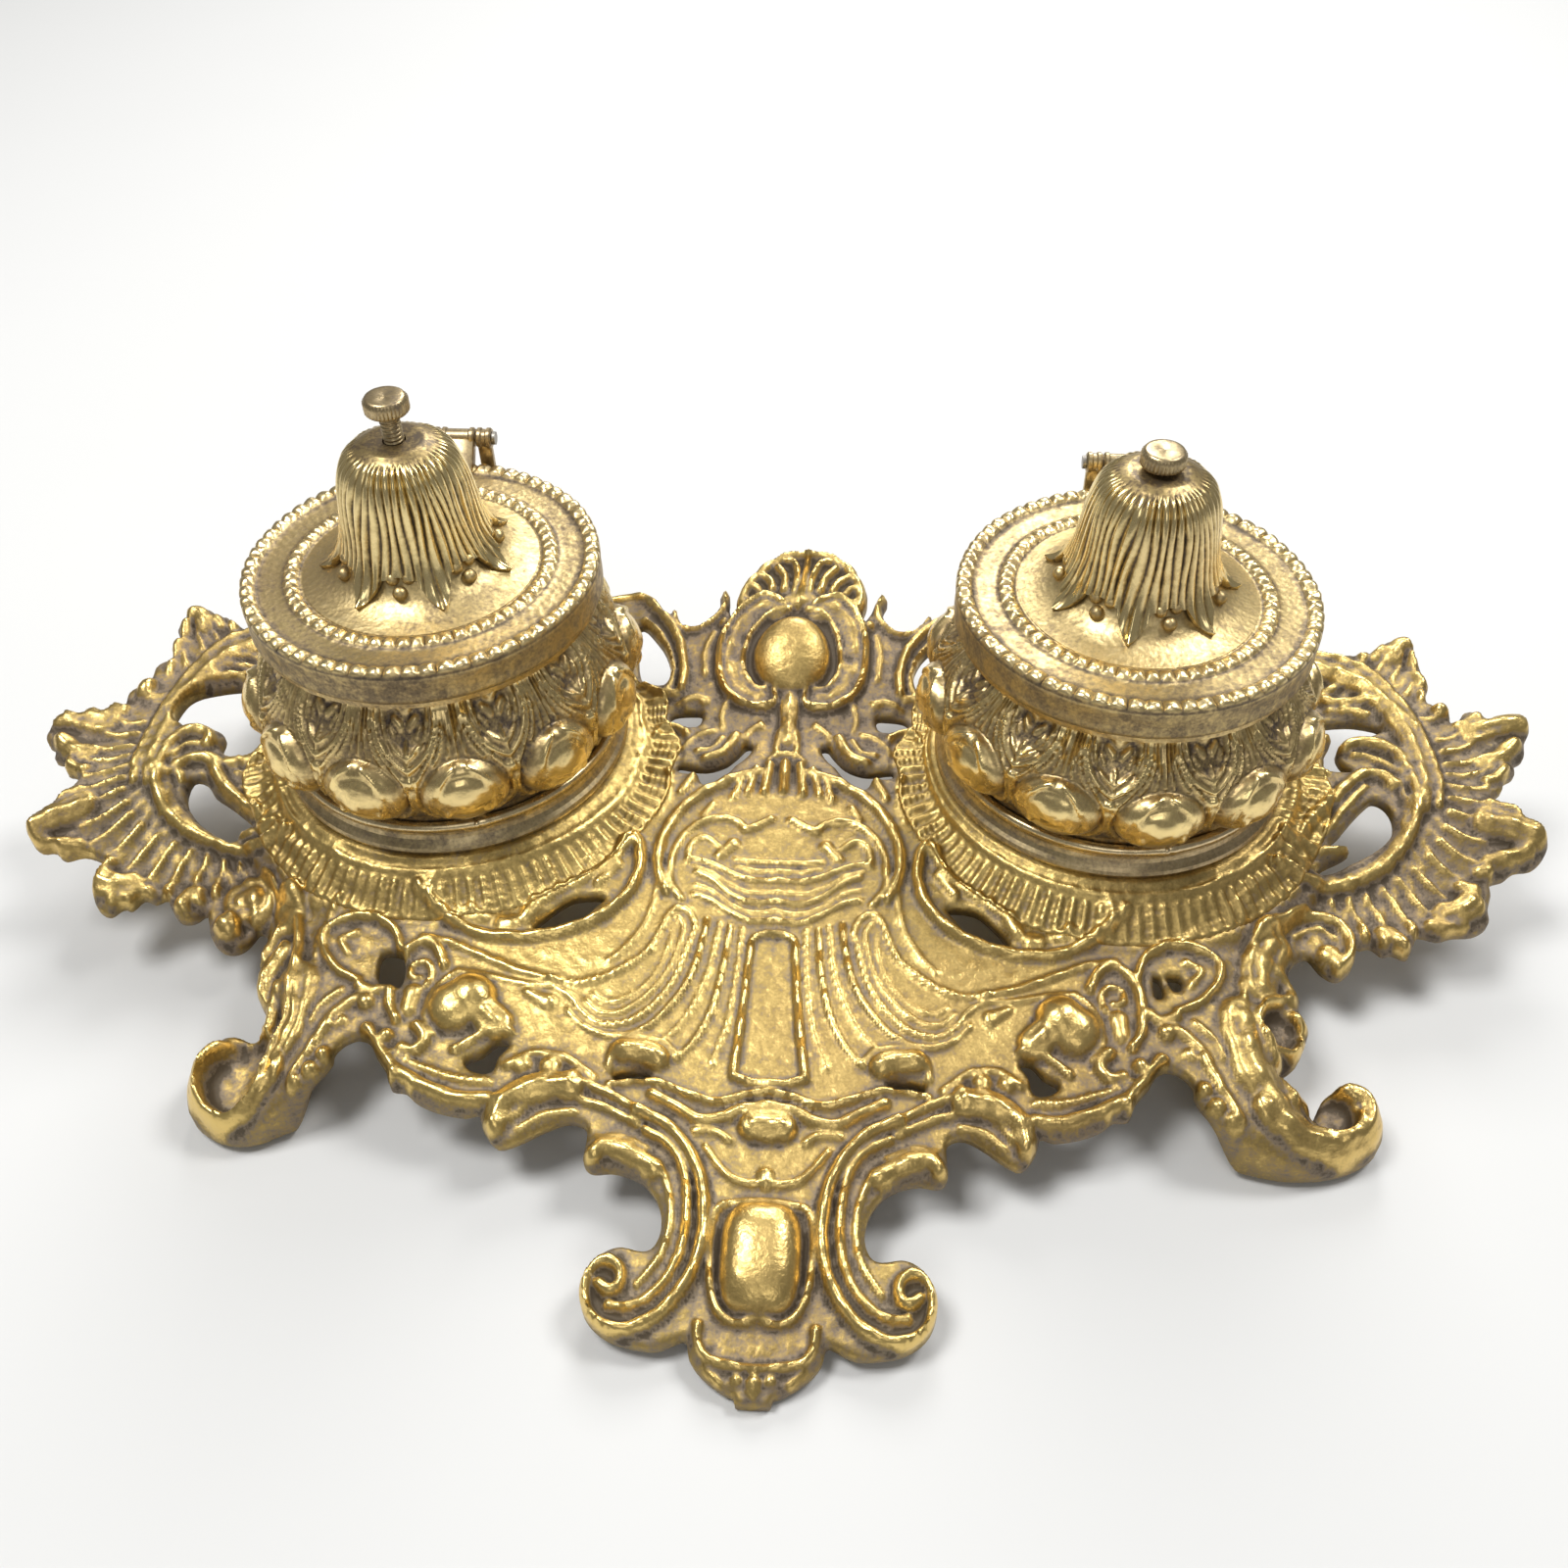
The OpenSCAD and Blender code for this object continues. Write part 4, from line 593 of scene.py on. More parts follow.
castRidgesOf = {
    1: [(1.9, 1.5, 2.0, 1.8, [(134.5, -3), (133.2, 2.5), (129.5, 5), (125.8, 5.9), (122.6, 4.3)]),
        (1.1, 0.8, 1.4, 1.2, [(133.5, -6), (131.5, -1.6), (128, 1.4), (124.5, 2.4)]),
        (1.7, 1.3, 1.9, 1.6, [(131, -6.5), (128.5, -3.6), (124.5, -4), (119, -9.2), (113.4, -14.6),
         (110.3, -19)]), (1.0, 0.8, 1.0, 0.8, [(125, -7), (120, -12.4), (115.6, -17.6)]),
        (1.9, 1.4, 1.9, 1.5, [(138, 9), (134.5, 14.4), (129.5, 17.4), (124.5, 17.8), (121, 19.6)]),
        (1.4, 1.1, 1.2, 1.0, [(129, 13.8), (125.6, 15.4), (122, 16)]),
        (1.3, 1.1, 1.3, 1.1, [(133, 22), (128, 23.4), (122.4, 22), (120.8, 21)]),
        (1.9, 1.3, 1.1, 1.3, [(107, -3.5), (111.5, 1.5), (116, 5.4), (119.6, 7.8)]),
        (1.9, 1.0, 1.2, 1.1, [(106.6, -6.5), (112, -2.6), (118, -2.6)]),
        (1.5, 0.9, 1.3, 1.2, [(106, -21), (113, -21.6), (119.2, -20.9)]),
        (1.3, 0.9, 1.0, 0.9, [(104, -24), (109, -25.6), (113, -25.2)]),
        # scroll above the leg, pocket and lobes of the leg
        (1.3, 1.5, 1.7, 1.9, [(103, -40.6), (107, -36.6), (112, -34.7), (116.4, -36.6), (118, -40.4),
         (117.2, -43.6), (114.6, -46)]),
        (0.8, 0.7, 0.9, 0.8, [(106.6, -40), (109.4, -37.8), (112.6, -37.4), (115, -39.2)]),
        (2.3, 2.0, 1.7, 1.8, [(113.4, -43.2), (114, -44)]),
        (1.2, 1.2, 1.4, 1.4, [(104, -38.4), (100, -41), (96.6, -45.6), (94.4, -51), (93.5, -57), (93.6, -63),
         (94.6, -69)]), (4.6, 4.0, 2.8, 2.4, [(101.2, -43.5), (98.6, -49), (97.6, -54)]),
        (1.2, 1.6, 2.0, 2.8, [(103.4, -54.6), (99, -56.8), (96.8, -61), (97.6, -66), (100, -71),
         (101.4, -75.6)]), (2.2, 2.0, 1.9, 1.8, [(101, -60), (101.4, -62)]),
        (1.8, 1.5, 1.7, 1.6, [(101.6, -49.6), (104, -52.2), (103.6, -55.6)]),
        (1.5, 1.4, 1.6, 1.5, [(104.4, -58.4), (105.4, -60)]),
        (1.1, 1.0, 1.6, 1.5, [(99.6, -66.6), (102.6, -66.4), (105.2, -63.4)]),
        (1.6, 1.6, 2.0, 2.0, [(103.2, -75), (103.4, -76)]),
        (1.1, 1.0, 1.3, 1.2, [(96.6, -70.2), (99.6, -72.4)]),
        (1.2, 1.0, 1.2, 1.1, [(108.4, -74.4), (111.4, -74), (112.6, -76.4), (110.6, -78)])],
    -1: [(1.9, 1.5, 2.0, 1.8, [(135, -4), (133.6, 0), (130.4, 0.8), (127.6, -1.4), (126.8, -4)]),
         (1.1, 0.8, 1.4, 1.2, [(133.6, -7.6), (131.6, -3.8), (128.8, -3.6)]),
         (1.7, 1.6, 1.8, 2.0, [(131, -9.6), (128.4, -8.2), (124.6, -9.2), (122.4, -12.8), (119.6, -16.4),
          (116, -18.8), (112, -21)]), (1.0, 0.8, 1.2, 1.0, [(133, -12), (130.8, -11.6), (129.6, -14)]),
         (1.5, 1.2, 1.7, 1.5, [(138, 8), (134.6, 13.6), (129.6, 15.6), (124, 17), (118, 17.4)]),
         (1.1, 0.9, 1.3, 1.1, [(132, 17.6), (126, 19.6), (118, 20.4)]),
         (1.0, 0.8, 1.2, 1.0, [(130, 21.6), (124, 22.6), (118, 22.8)]),
         (2.0, 1.6, 1.2, 1.3, [(108, -5), (112, -3), (116, -8), (121, -10)]),
         (1.4, 1.2, 1.0, 1.1, [(112, 12), (114.6, 5), (114.6, -1)]),
         (1.4, 1.2, 1.3, 1.3, [(106, -26), (111, -25.6), (114.6, -25.8)]),
         (0.6, 0.5, 0.7, 0.6, [(109, -8), (114, -11.4), (118.6, -12.4)]),
         (0.6, 0.5, 0.7, 0.6, [(108.6, -11.6), (113, -15), (117, -15.6)]),
         (0.6, 0.5, 0.7, 0.6, [(107.6, -15), (111.6, -18), (114.6, -18.4)]),
         # rolled scroll above the leg, twisted lobes of the leg, lobe over the cup of the foot
         (6.0, 5.2, 2.8, 2.4, [(110.6, -39.8), (115, -41)]),
         (3.0, 2.8, 3.2, 3.2, [(118.2, -46), (119.2, -46.8)]),
         (1.1, 1.1, 1.7, 1.7, [(103.4, -42), (106, -37.4), (109, -35)]),
         (4.6, 4.4, 2.4, 1.8, [(100.6, -43), (99, -46)]), (2.9, 2.3, 2.8, 2.2, [(106, -53.6), (101, -48.4)]),
         (4.2, 3.2, 3.6, 2.6, [(105, -61.4), (98.6, -54)]), (3.0, 2.2, 2.6, 2.0, [(103, -67), (98.4, -61.6)]),
         (1.2, 2.2, 2.2, 3.2, [(96.4, -47), (94.6, -53), (94, -59), (94.8, -66), (97.4, -73), (99.6, -79)]),
         (1.0, 0.9, 1.0, 0.9, [(88, -44), (90.4, -52), (90, -60), (91, -66)], 1),
         (1.9, 1.8, 2.0, 2.0, [(106, -68), (107.6, -68.6)])]}
# hollows: half width, depth, points
castHollows = [
    (9.0, 1.3, [(36, -52), (46, -55), (58, -53)]), (3.6, 1.2, [(0, -52), (0, -76)]),
    (4.0, 0.9, [(3, -25), (6, -27)]), (3.2, 1.3, [(0, -124.6), (6, -124.4)]),
    (2.6, 0.9, [(3, -92.6), (7, -93)]), (2.4, 1.0, [(13.2, 21.5), (13.4, 22)]),
    (5.0, 0.9, [(22, -25), (27, -14)]), (4.6, 1.0, [(28, -62), (40, -69)]),
    (2.6, 0.8, [(125, -30), (134, -22)])]


def landAt(x, y):
    # height of the sheet before any relief: high at the crest, falling to the front
    u, land = np.abs(x), cast["land"]
    front = np.maximum(0, -y - 5) / 129
    rise, fall = land["back"] * y * ease((u - 115) / 20), land["front"] * front ** 1.25
    tall = land["middle"] + np.where(y > 0, rise, -fall)
    tall += land["wings"] * ease((u - 120) / 30) - land["feet"] * ease((-y - 10) / 25) * ease((u - 85) / 25)
    return tall + land["crest"] * ease(y / 45) * np.exp(-(u / 40) ** 2)


def footAt(x, y):
    return ease((-y - 64) / 12) * ease((x - 84) / 8)


fineStep = cast["cell"] / 2
gridX, gridY = np.arange(-3, 167, fineStep), np.arange(-137, 54, fineStep)


def sampled(field, x, y):
    fx = np.clip((x - gridX[0]) / fineStep, 0, len(gridX) - 1.001)
    fy = np.clip((y - gridY[0]) / fineStep, 0, len(gridY) - 1.001)
    i, j = fx.astype(int), fy.astype(int)
    tx, ty = fx - i, fy - j
    front, back = (field[k, i] * (1 - tx) + field[k, i + 1] * tx for k in (j, j + 1))
    return front * (1 - ty) + back * ty


def near(lo, hi):
    # the part of the fine grid inside a box, as slices, with its points
    i = slice(*np.searchsorted(gridX, (lo[0], hi[0])))
    j = slice(*np.searchsorted(gridY, (lo[1], hi[1])))
    return (j, i), *np.meshgrid(gridX[i], gridY[j])


def loopField(points, reach=4.5):
    # signed distance to a closed line, minus inside, kept within the reach
    loop = smoothLine(points, 3, closed=True)
    d = np.full((len(gridY), len(gridX)), reach)
    flips = np.zeros((len(gridY), len(gridX) + 1), int)
    for p, q in zip(loop, np.roll(loop, -1, axis=0)):
        at, x, y = near(np.minimum(p, q) - reach, np.maximum(p, q) + reach)
        if x.size:
            d[at] = np.minimum(d[at], nearLine(x, y, np.array([p, q]))[0])
        rows = np.nonzero((p[1] > gridY) != (q[1] > gridY))[0]
        if len(rows):
            cross = p[0] + (q[0] - p[0]) * (gridY[rows] - p[1]) / (q[1] - p[1])
            np.add.at(flips, (rows, np.searchsorted(gridX, cross)), 1)
    odd = (flips.sum(1, keepdims=True) - np.cumsum(flips, 1))[:, :-1] % 2 == 1
    return np.where(odd, -d, d)


def addHollow(high, half, deep, points):
    line = smoothLine(points)
    at, x, y = near(line.min(0) - half, line.max(0) + half)
    high[at] -= deep * ease(1 - nearLine(x, y, line)[0] / half)


def addRidge(high, w0, w1, h0, h1, points, cord=0):
    line = smoothLine(points, 5)
    wide = max(w0, w1)
    at, x, y = near(line.min(0) - wide, line.max(0) + wide)
    if not x.size:
        return
    d, t, hand, length = nearLine(x, y, line)
    ridge, waver, twist = cast["ridge"], cast["waver"], cast["cord"]
    w = (w0 + (w1 - w0) * t) * (1 + waver["width"] * np.sin(t * length * 0.8 + 5 * points[0][0]))
    h = (h0 + (h1 - h0) * t) * (1 + waver["height"] * np.sin(t * length * 1.1 + 3 * points[0][1]))
    rise = ridge["lift"] * h * rounded(d / w, 0.75 if wide < 1.2 else 0.55)
    if cord:
        turn = 2 * np.pi * (t * length + hand * 0.6) / twist["pitch"]
        rise *= 1 - twist["depth"] + twist["depth"] * np.cos(turn)
    elif wide > 1.6 and length > 4:
        # a chased line down each side of the broad ones
        rise *= 1 - ridge["groove"] * peak(np.abs(hand) / w, 0.42, 0.14)
    high[at] = np.maximum(high[at], rise + ridge["over"] * np.minimum(high[at], ridge["overMost"]))


def addCup(high, x, y, half, deep, spot):
    away, turn = np.hypot(x - spot[0], y - spot[1]) / half, np.arctan2(y - spot[1], x - spot[0])
    inside = ease((1 - away) * 2.6)
    high = high * (1 - inside) - inside * (deep - 0.5 * away * np.abs(np.cos(turn * 3.5)))
    return high + 0.9 * np.exp(-((away - 1.02) * half / 0.9) ** 2)


def makeFields(side):
    # outline distance, relief and wear over one half of the casting
    x, y = np.meshgrid(gridX, gridY)
    edge = loopField(castOutline[0] + castOutline[1][side] + castOutline[2])
    for hole in castPiercings + castPiercingsOf[side]:
        edge = np.maximum(edge, -loopField(hole))
    high = np.zeros(x.shape)
    for hollow in castHollows:
        addHollow(high, *hollow)
    for ridge in castRidges + castRidgesOf[side]:
        addRidge(high, *ridge)
    dome, gem = cast["dome"], cast["cabochon"]
    d = np.hypot(x - dome["at"][0], y - dome["at"][1]) / dome["radius"]
    high = np.maximum(high, dome["height"] * rounded(d, 0.42))
    square = 3.2  # how square the cabochon is, 2 being an oval
    q = sum(np.abs((p - gem["at"][k]) / gem["half"][k]) ** square for k, p in enumerate((x, y))) ** (1 / square)
    high = np.maximum(high, gem["height"] * np.maximum(0, 1 - q ** 3) ** 0.55)
    for cup in cast["cups"][side]:
        high = addCup(high, x, y, *cup)
    (cx, cy), inner, outer, count, tall = cast["flutes"]
    away, turn = np.hypot(x - cx, y - cy), np.arctan2(y - cy, x - cx)
    lines = np.cos(turn * count + 0.16 * away + 1.4 * np.sin(away * 0.33 + 2 * turn))
    where = ease((away - inner) / 3) * ease((outer - away) / 3) * (1 - 0.75 * ease((high - 1.0) / 0.8))
    high += tall * lines * where
    # the metal is a little uneven, as cast and chased work is
    uneven = cast["uneven"]
    rough = np.random.default_rng(uneven["seed"]).standard_normal(x.shape)
    rough = 3.2 * (blurred(rough, 2) - blurred(rough, 5)) + 5 * (blurred(rough, 5) - blurred(rough, 12))
    rubbed = ease((60 - np.hypot((x - 14) * 0.9, y + 60)) / 18)
    calm = np.where((d < 1) | (q < 1), 0.2, 1 - 0.3 * rubbed)
    waves = np.sin(x * 0.9 + 1.7 * np.sin(y * 0.63)) * np.sin(y * 0.8 + 1.3 * np.sin(x * 0.71))
    ripples = np.sin(x * 2.3 + 1.1 * np.sin(y * 1.9)) * np.sin(y * 2.1 + 1.2 * np.sin(x * 1.7))
    high += calm * (uneven["grain"] * rough + uneven["waves"] * waves + uneven["ripples"] * ripples)
    soft = blurred(high, 1)
    # hollows of the relief go to dust and, deepest, to painted shade; the apron is darkened towards the front
    # as painted shade
    return edge, soft, wearAndShadeOf(
        cast, fine=soft - blurred(soft, 4), broad=soft - blurred(soft, 14), grain=rough, tray=rubbed,
        dish=ease((18 - np.hypot((x - 47) * 0.8, y + 56)) / 10),
        wings=ease((x - 104) / 14) * ease((y + 42) / 10), apron=ease((-84 - y) / 8),
        crest=ease((y + 16) / 12) * ease((48 - x) / 12), tops=ease((high - 1.9) / 0.7))


castFields = {side: makeFields(side) for side in (1, -1)}
print("relief drawn")


def skirtAt(away, angle):
    skirt = cast["skirt"]
    band = ease((away - skirt["from"]) / 0.8) * ease((skirt["to"] - away) / 0.8)
    rib = np.abs(np.cos(angle * skirt["ribs"] / 2)) ** skirt["sharp"]
    rung = skirt["rung"] * np.cos(away * 4.6) * (0.5 + 0.5 * np.sign(np.sin(angle * skirt["ribs"] / 4 + 0.8)))
    fade = 0.75 + 0.25 * np.sin(angle * 5 + 1) * np.sin(angle * 11)
    return skirt["height"] * band * fade * (rib + rung - 0.4) + 0.55 * peak(away, 40.4, 0.7)


def groundAt(x, y):
    # the sheet with the flat seats and their sloping skirts blended in
    away, land, seat = np.hypot(x - potX, y), landAt(x, y), cast["seat"]
    slope = seat["height"] - seat["fall"] * np.maximum(0, away - seat["flat"]) / (seat["rim"] - seat["flat"])
    soft = 1.2  # how softly the two meet
    k = np.clip(0.5 + 0.5 * (slope - land) / soft, 0, 1) * ease((52.5 - away) / 2)
    return np.where(away < seat["flat"], seat["height"] - 0.1, land * (1 - k) + slope * k + soft * k * (1 - k))


def leaning(x, y, side):
    # the real casting isn't quite even: its middle leans right and its left wing hangs forward
    u, lean = np.abs(x), cast["lean"]
    right = lean["middle"] + lean["front"] * ease((-y - 50) / 50) + lean["crest"] * ease((y - 22) / 26)
    nx, ny = side * x + right * (1 - ease((u - 25) / 40)), y
    if side < 0:
        low = ease((-y - 58) / 12)
        nx = nx + (lean["out"] - 2 * low) * ease((-y - 20) / 40) * ease((u - 95 + 10 * low) / 25)
        ny = ny - lean["wing"] * ease((u - 120) / 45) * ease((25 - y) / 20)
        ny = ny - lean["foot"] * ease((-y - 55) / 25) * ease((u - 92) / 20)
    return [np.clip(place, *limit) for place, limit in zip((nx, ny), cast["limits"])]


def makeCastHalf(side):
    edgeField, highField, wornAndShadedField = castFields[side]
    cell = cast["cell"]
    nx, ny = int(cast["size"][0] / cell) + 1, int(cast["size"][1] / cell)
    wide, long = nx * cell, ny * cell
    bm = bmesh.new()
    bmesh.ops.create_grid(bm, x_segments=nx, y_segments=ny, size=0.5,
                          matrix=Matrix.Diagonal((wide, long, 1, 1)))
    bmesh.ops.translate(bm, verts=bm.verts[:], vec=(wide / 2, long / 2 + cast["front"], 0))

    def edgeAt(x, y):
        return np.maximum(sampled(edgeField, x, y), cast["seat"]["hole"] - np.hypot(x - potX, y))

    d = edgeAt(*np.array([v.co[:2] for v in bm.verts]).T)
    bm.verts.index_update()
    gone = [f for f in bm.faces if sum(d[v.index] for v in f.verts) > -0.2 * cell]
    bmesh.ops.delete(bm, geom=gone, context="FACES")
    bmesh.ops.delete(bm, geom=[v for v in bm.verts if not v.link_faces], context="VERTS")
    # border points go onto the true outline
    for again in range(3):
        rim = [v for v in bm.verts if v.is_boundary and v.co.x > 0.01]
        x, y = np.array([v.co[:2] for v in rim]).T
        d = edgeAt(x, y)
        gx = (edgeAt(x + 0.2, y) - edgeAt(x - 0.2, y)) / 0.4
        gy = (edgeAt(x, y + 0.2) - edgeAt(x, y - 0.2)) / 0.4
        size = np.maximum(gx * gx + gy * gy, 0.3)
        for v, ax, ay in zip(rim, x - d * gx / size, y - d * gy / size):
            v.co.x, v.co.y = max(ax, 0), ay
    x, y = np.array([v.co[:2] for v in bm.verts]).T
    away, foot = np.hypot(x - potX, y), footAt(x, y)
    depth = -sampled(edgeField, x, y)
    bend = cast["edge"] + cast["footEdge"] * foot
    drop = bend * (1 - rounded(np.clip(1 - depth / bend, 0, 1)))
    high = sampled(highField, x, y)
    top = groundAt(x, y) + high - drop * np.minimum(1, 0.55 + np.maximum(high, 0) / 4) - 0.45 * (away < 48.2)
    low = (landAt(x, y) - cast["plate"]) * (1 - foot) + drop * 0.35
    low = np.minimum(np.maximum(low, 0), top - cast["thinnest"])
    px, py = leaning(x, y, side)
    py += backShift
    layer = bm.verts.layers.float.new("wornAndShaded")
    tops = list(bm.verts)
    key = {(round(v.co.x, 5), round(v.co.y, 5)): i for i, v in enumerate(tops)}
    made = bmesh.ops.extrude_face_region(bm, geom=list(bm.faces), use_keep_orig=True)
    for v in newVerts(made):
        i = key[(round(v.co.x, 5), round(v.co.y, 5))]
        v.co, v[layer] = (px[i], py[i], low[i]), cast["wearAndShade"]["under"]
    for v, *spot, w in zip(tops, px, py, top, sampled(wornAndShadedField, x, y)):
        v.co, v[layer] = spot, w
    addPiece("casting_" + nameOf[side], toMetres(bm), trayBrass, "stand", "base_casting", 75)


def spun(profile, steps):
    # a turned solid from a closed outline of radii and heights, with each point's angle and outline row
    bm = bmesh.new()
    line = [bm.verts.new((r, 0, z)) for r, z in profile]
    edges = [bm.edges.new((a, b)) for a, b in zip(line, line[1:] + line[:1])]
    bmesh.ops.spin(bm, geom=line + edges, axis=(0, 0, 1), cent=(0, 0, 0), angle=2 * math.pi, steps=steps,
                   use_merge=True)
    bmesh.ops.remove_doubles(bm, verts=bm.verts[:], dist=1e-4)
    co = np.array([v.co[:] for v in bm.verts])
    flat = np.stack([np.hypot(co[:, 0], co[:, 1]), co[:, 2]], 1)
    parts = np.array_split(flat, 40)
    row = np.concatenate([((part[:, None] - profile[None]) ** 2).sum(2).argmin(1) for part in parts])
    return bm, np.arctan2(co[:, 1], co[:, 0]), row


def outward(profile):
    # unit normals of a closed outline that runs with the solid on its left
    step = np.roll(profile, -1, axis=0) - np.roll(profile, 1, axis=0)
    return np.stack([step[:, 1], -step[:, 0]], 1) / np.maximum(np.hypot(*step.T), 1e-6)[:, None]


def settle(bm, angle, radius, height, wornAndShaded, side, base):
    # puts the turned points at their final radius and height, on a pot's axis
    x, y = radius * np.cos(angle) + side * potX, radius * np.sin(angle) + backShift
    return toMetres(placed(bm, x, y, height + base, wornAndShaded))


# seats with their ribbed skirts
seat = {
    "steps": 588,
    "rings": 27,
    "under": [(48.3, 27.6), (42, 27.2), (36.6, 27), (30, 27), (2.3, 27)],
    "wearAndShade": {"all": 0.52, "ribs": 0.35, "relief": 0.16, "rim": 0.1},
}


def skirtReach(side, angle):
    # how far out the skirt can go before it meets a piercing, evened out
    turn, rim = np.linspace(-math.pi, math.pi, 721), cast["seat"]["rim"]
    reach = np.full(turn.shape, rim)
    for r in np.arange(rim, 40.4, -0.2):
        spot = sampled(castFields[side][0], potX + r * np.cos(turn), r * np.sin(turn))
        reach = np.where(spot > -1.2, r, reach)
    reach = np.min([np.roll(reach[:-1], k) for k in range(-5, 6)], 0)
    for again in range(2):
        reach = np.mean([np.roll(reach, k) for k in range(-7, 8)], 0)
    return np.interp(angle, turn, np.append(reach, reach[0]))


def makeSeat(side):
    flat, rim, tall = (cast["seat"][k] for k in ("flat", "rim", "height"))
    top = [(r, tall) for r in (2.3, 20, 34, 37, *np.linspace(flat, rim, seat["rings"]))]
    profile = np.array(top + seat["under"])
    bm, angle, row = spun(profile, seat["steps"])
    reach = skirtReach(side, angle)
    r0, z0 = profile[row].T
    r = np.where(r0 > flat, flat + (r0 - flat) * (reach - flat) / (rim - flat), r0)
    x, y = potX + r * np.cos(angle), r * np.sin(angle)
    ground, isTop, outer = groundAt(x, y), row < len(top), row == len(top) - 1
    high = sampled(castFields[side][1], x, y) * ease((r - 37.5) / 1.5)
    rib = skirtAt(r0, angle)
    z = np.where(isTop, ground + high + rib + 0.08 - 0.45 * outer, np.where(r0 > flat, ground - 1.9, z0))
    wx, wy = leaning(x, y, side)
    k = ease((r - 37.6) / 4)
    wx, wy = wx * k + side * x * (1 - k), wy * k + y * (1 - k)
    wornAndShaded = wearAndShadeOf(seat, ribs=rib, relief=np.maximum(high, 0), rim=peak(r0, 47.6, 0.7))
    bm = toMetres(placed(bm, wx, wy + backShift, z, wornAndShaded))
    addPiece("seat_" + nameOf[side], bm, trayBrass, "stand", "base_casting", 75)


# pots
pot = {
    "steps": 576,
    "rows": 0.4,
    "base": 34.7,
    "lobes": 12,
    "turn": {1: -9.0, -1: 3.0},  # degrees the chased pattern is turned from the front
    "lobe": {"half": (8.7, 7.4), "at": 12.4, "height": 3.3},
    "period": 20.0,  # width of one lobe's field in the units of the chased lines
    "ring": {"at": 0.66, "width": 0.08, "depth": 0.13},
    "boss": {"half": (3.2, 2.8), "height": 0.14},
    # the lower halves of the lobes are darkened as painted shade, and the wall is darker towards the foot
    "wearAndShade": {"all": 0.36, "lines": 0.5, "lobes": 0.5, "shields": -0.12, "neck": 0.1, "foot": -0.1, "low": -0.14,
             "inside": 0.3},
    "wall": [(33.9, 0), (34.1, 1.9), (35, 3.4), (36.6, 5.6), (38, 8.6), (39, 12), (39.2, 15.3), (38.2, 18.8),
             (36.2, 22.2), (33.6, 25.2), (31.8, 27.2), (31.2, 28.4)],
    "neck": [(33.1, 29.4), (34.7, 30.1), (34.7, 31.3)],
    "inside": [(34.2, 31.3), (28, 31.3), (26.9, 31.3), (26.8, 27.4), (30, 26.8), (34.8, 22), (37.6, 17),
               (38, 12), (36.6, 7), (33, 2.6), (28, 1.5), (14, 1.5), (2.2, 1.5), (2.2, 0), (30, 0)],
    # chased lines in a twelfth of the wall, across from the middle of a lobe and up from the foot
    # half width, height, points
    "lines": [
        (0.46, 0.7, [(3.4, 27.8), (3.6, 25), (5, 22.4), (7.2, 20.2), (10, 18.4)]),
        (0.4, 0.55, [(4.9, 27.8), (5, 25.6), (6.2, 23.4), (8, 21.7), (10, 20.4)]),
        (0.4, 0.6, [(10, 23), (10, 17.6)]), (1.2, 1.1, [(10, 16.6), (10, 16.4)]),
        (0.4, 0.55, [(0, 28), (0, 20.6)]), (0.36, 0.5, [(1, 28), (1, 24), (1.9, 20.4)]),
        (0.4, 0.55, [(1.9, 28), (2, 24.6), (3.4, 21.4), (5, 19.4)]),
        (0.4, 0.6, [(2.7, 28), (2.8, 25), (4.4, 21.8), (6.8, 19), (8.6, 16.8)]),
        (0.46, 0.75, [(8.6, 17), (9.4, 13.6), (9.2, 9.8), (7.8, 6.6), (5.4, 4.6), (3.2, 4)]),
        (0.36, 0.5, [(9.9, 14.6), (10, 11), (9.4, 7.6), (8.2, 5.4)]), (0.8, 0.6, [(7.6, 26), (9, 25)]),
        (0.6, 0.5, [(8.6, 27.4), (9.8, 26.8)]), (0.6, 0.5, [(6.6, 24.8), (7.4, 23.8)]),
        (0.5, 0.5, [(1.2, 19), (3.4, 17.6), (5.2, 15)]), (0.9, 0.5, [(3.6, 11), (4.6, 9.6)])],
}


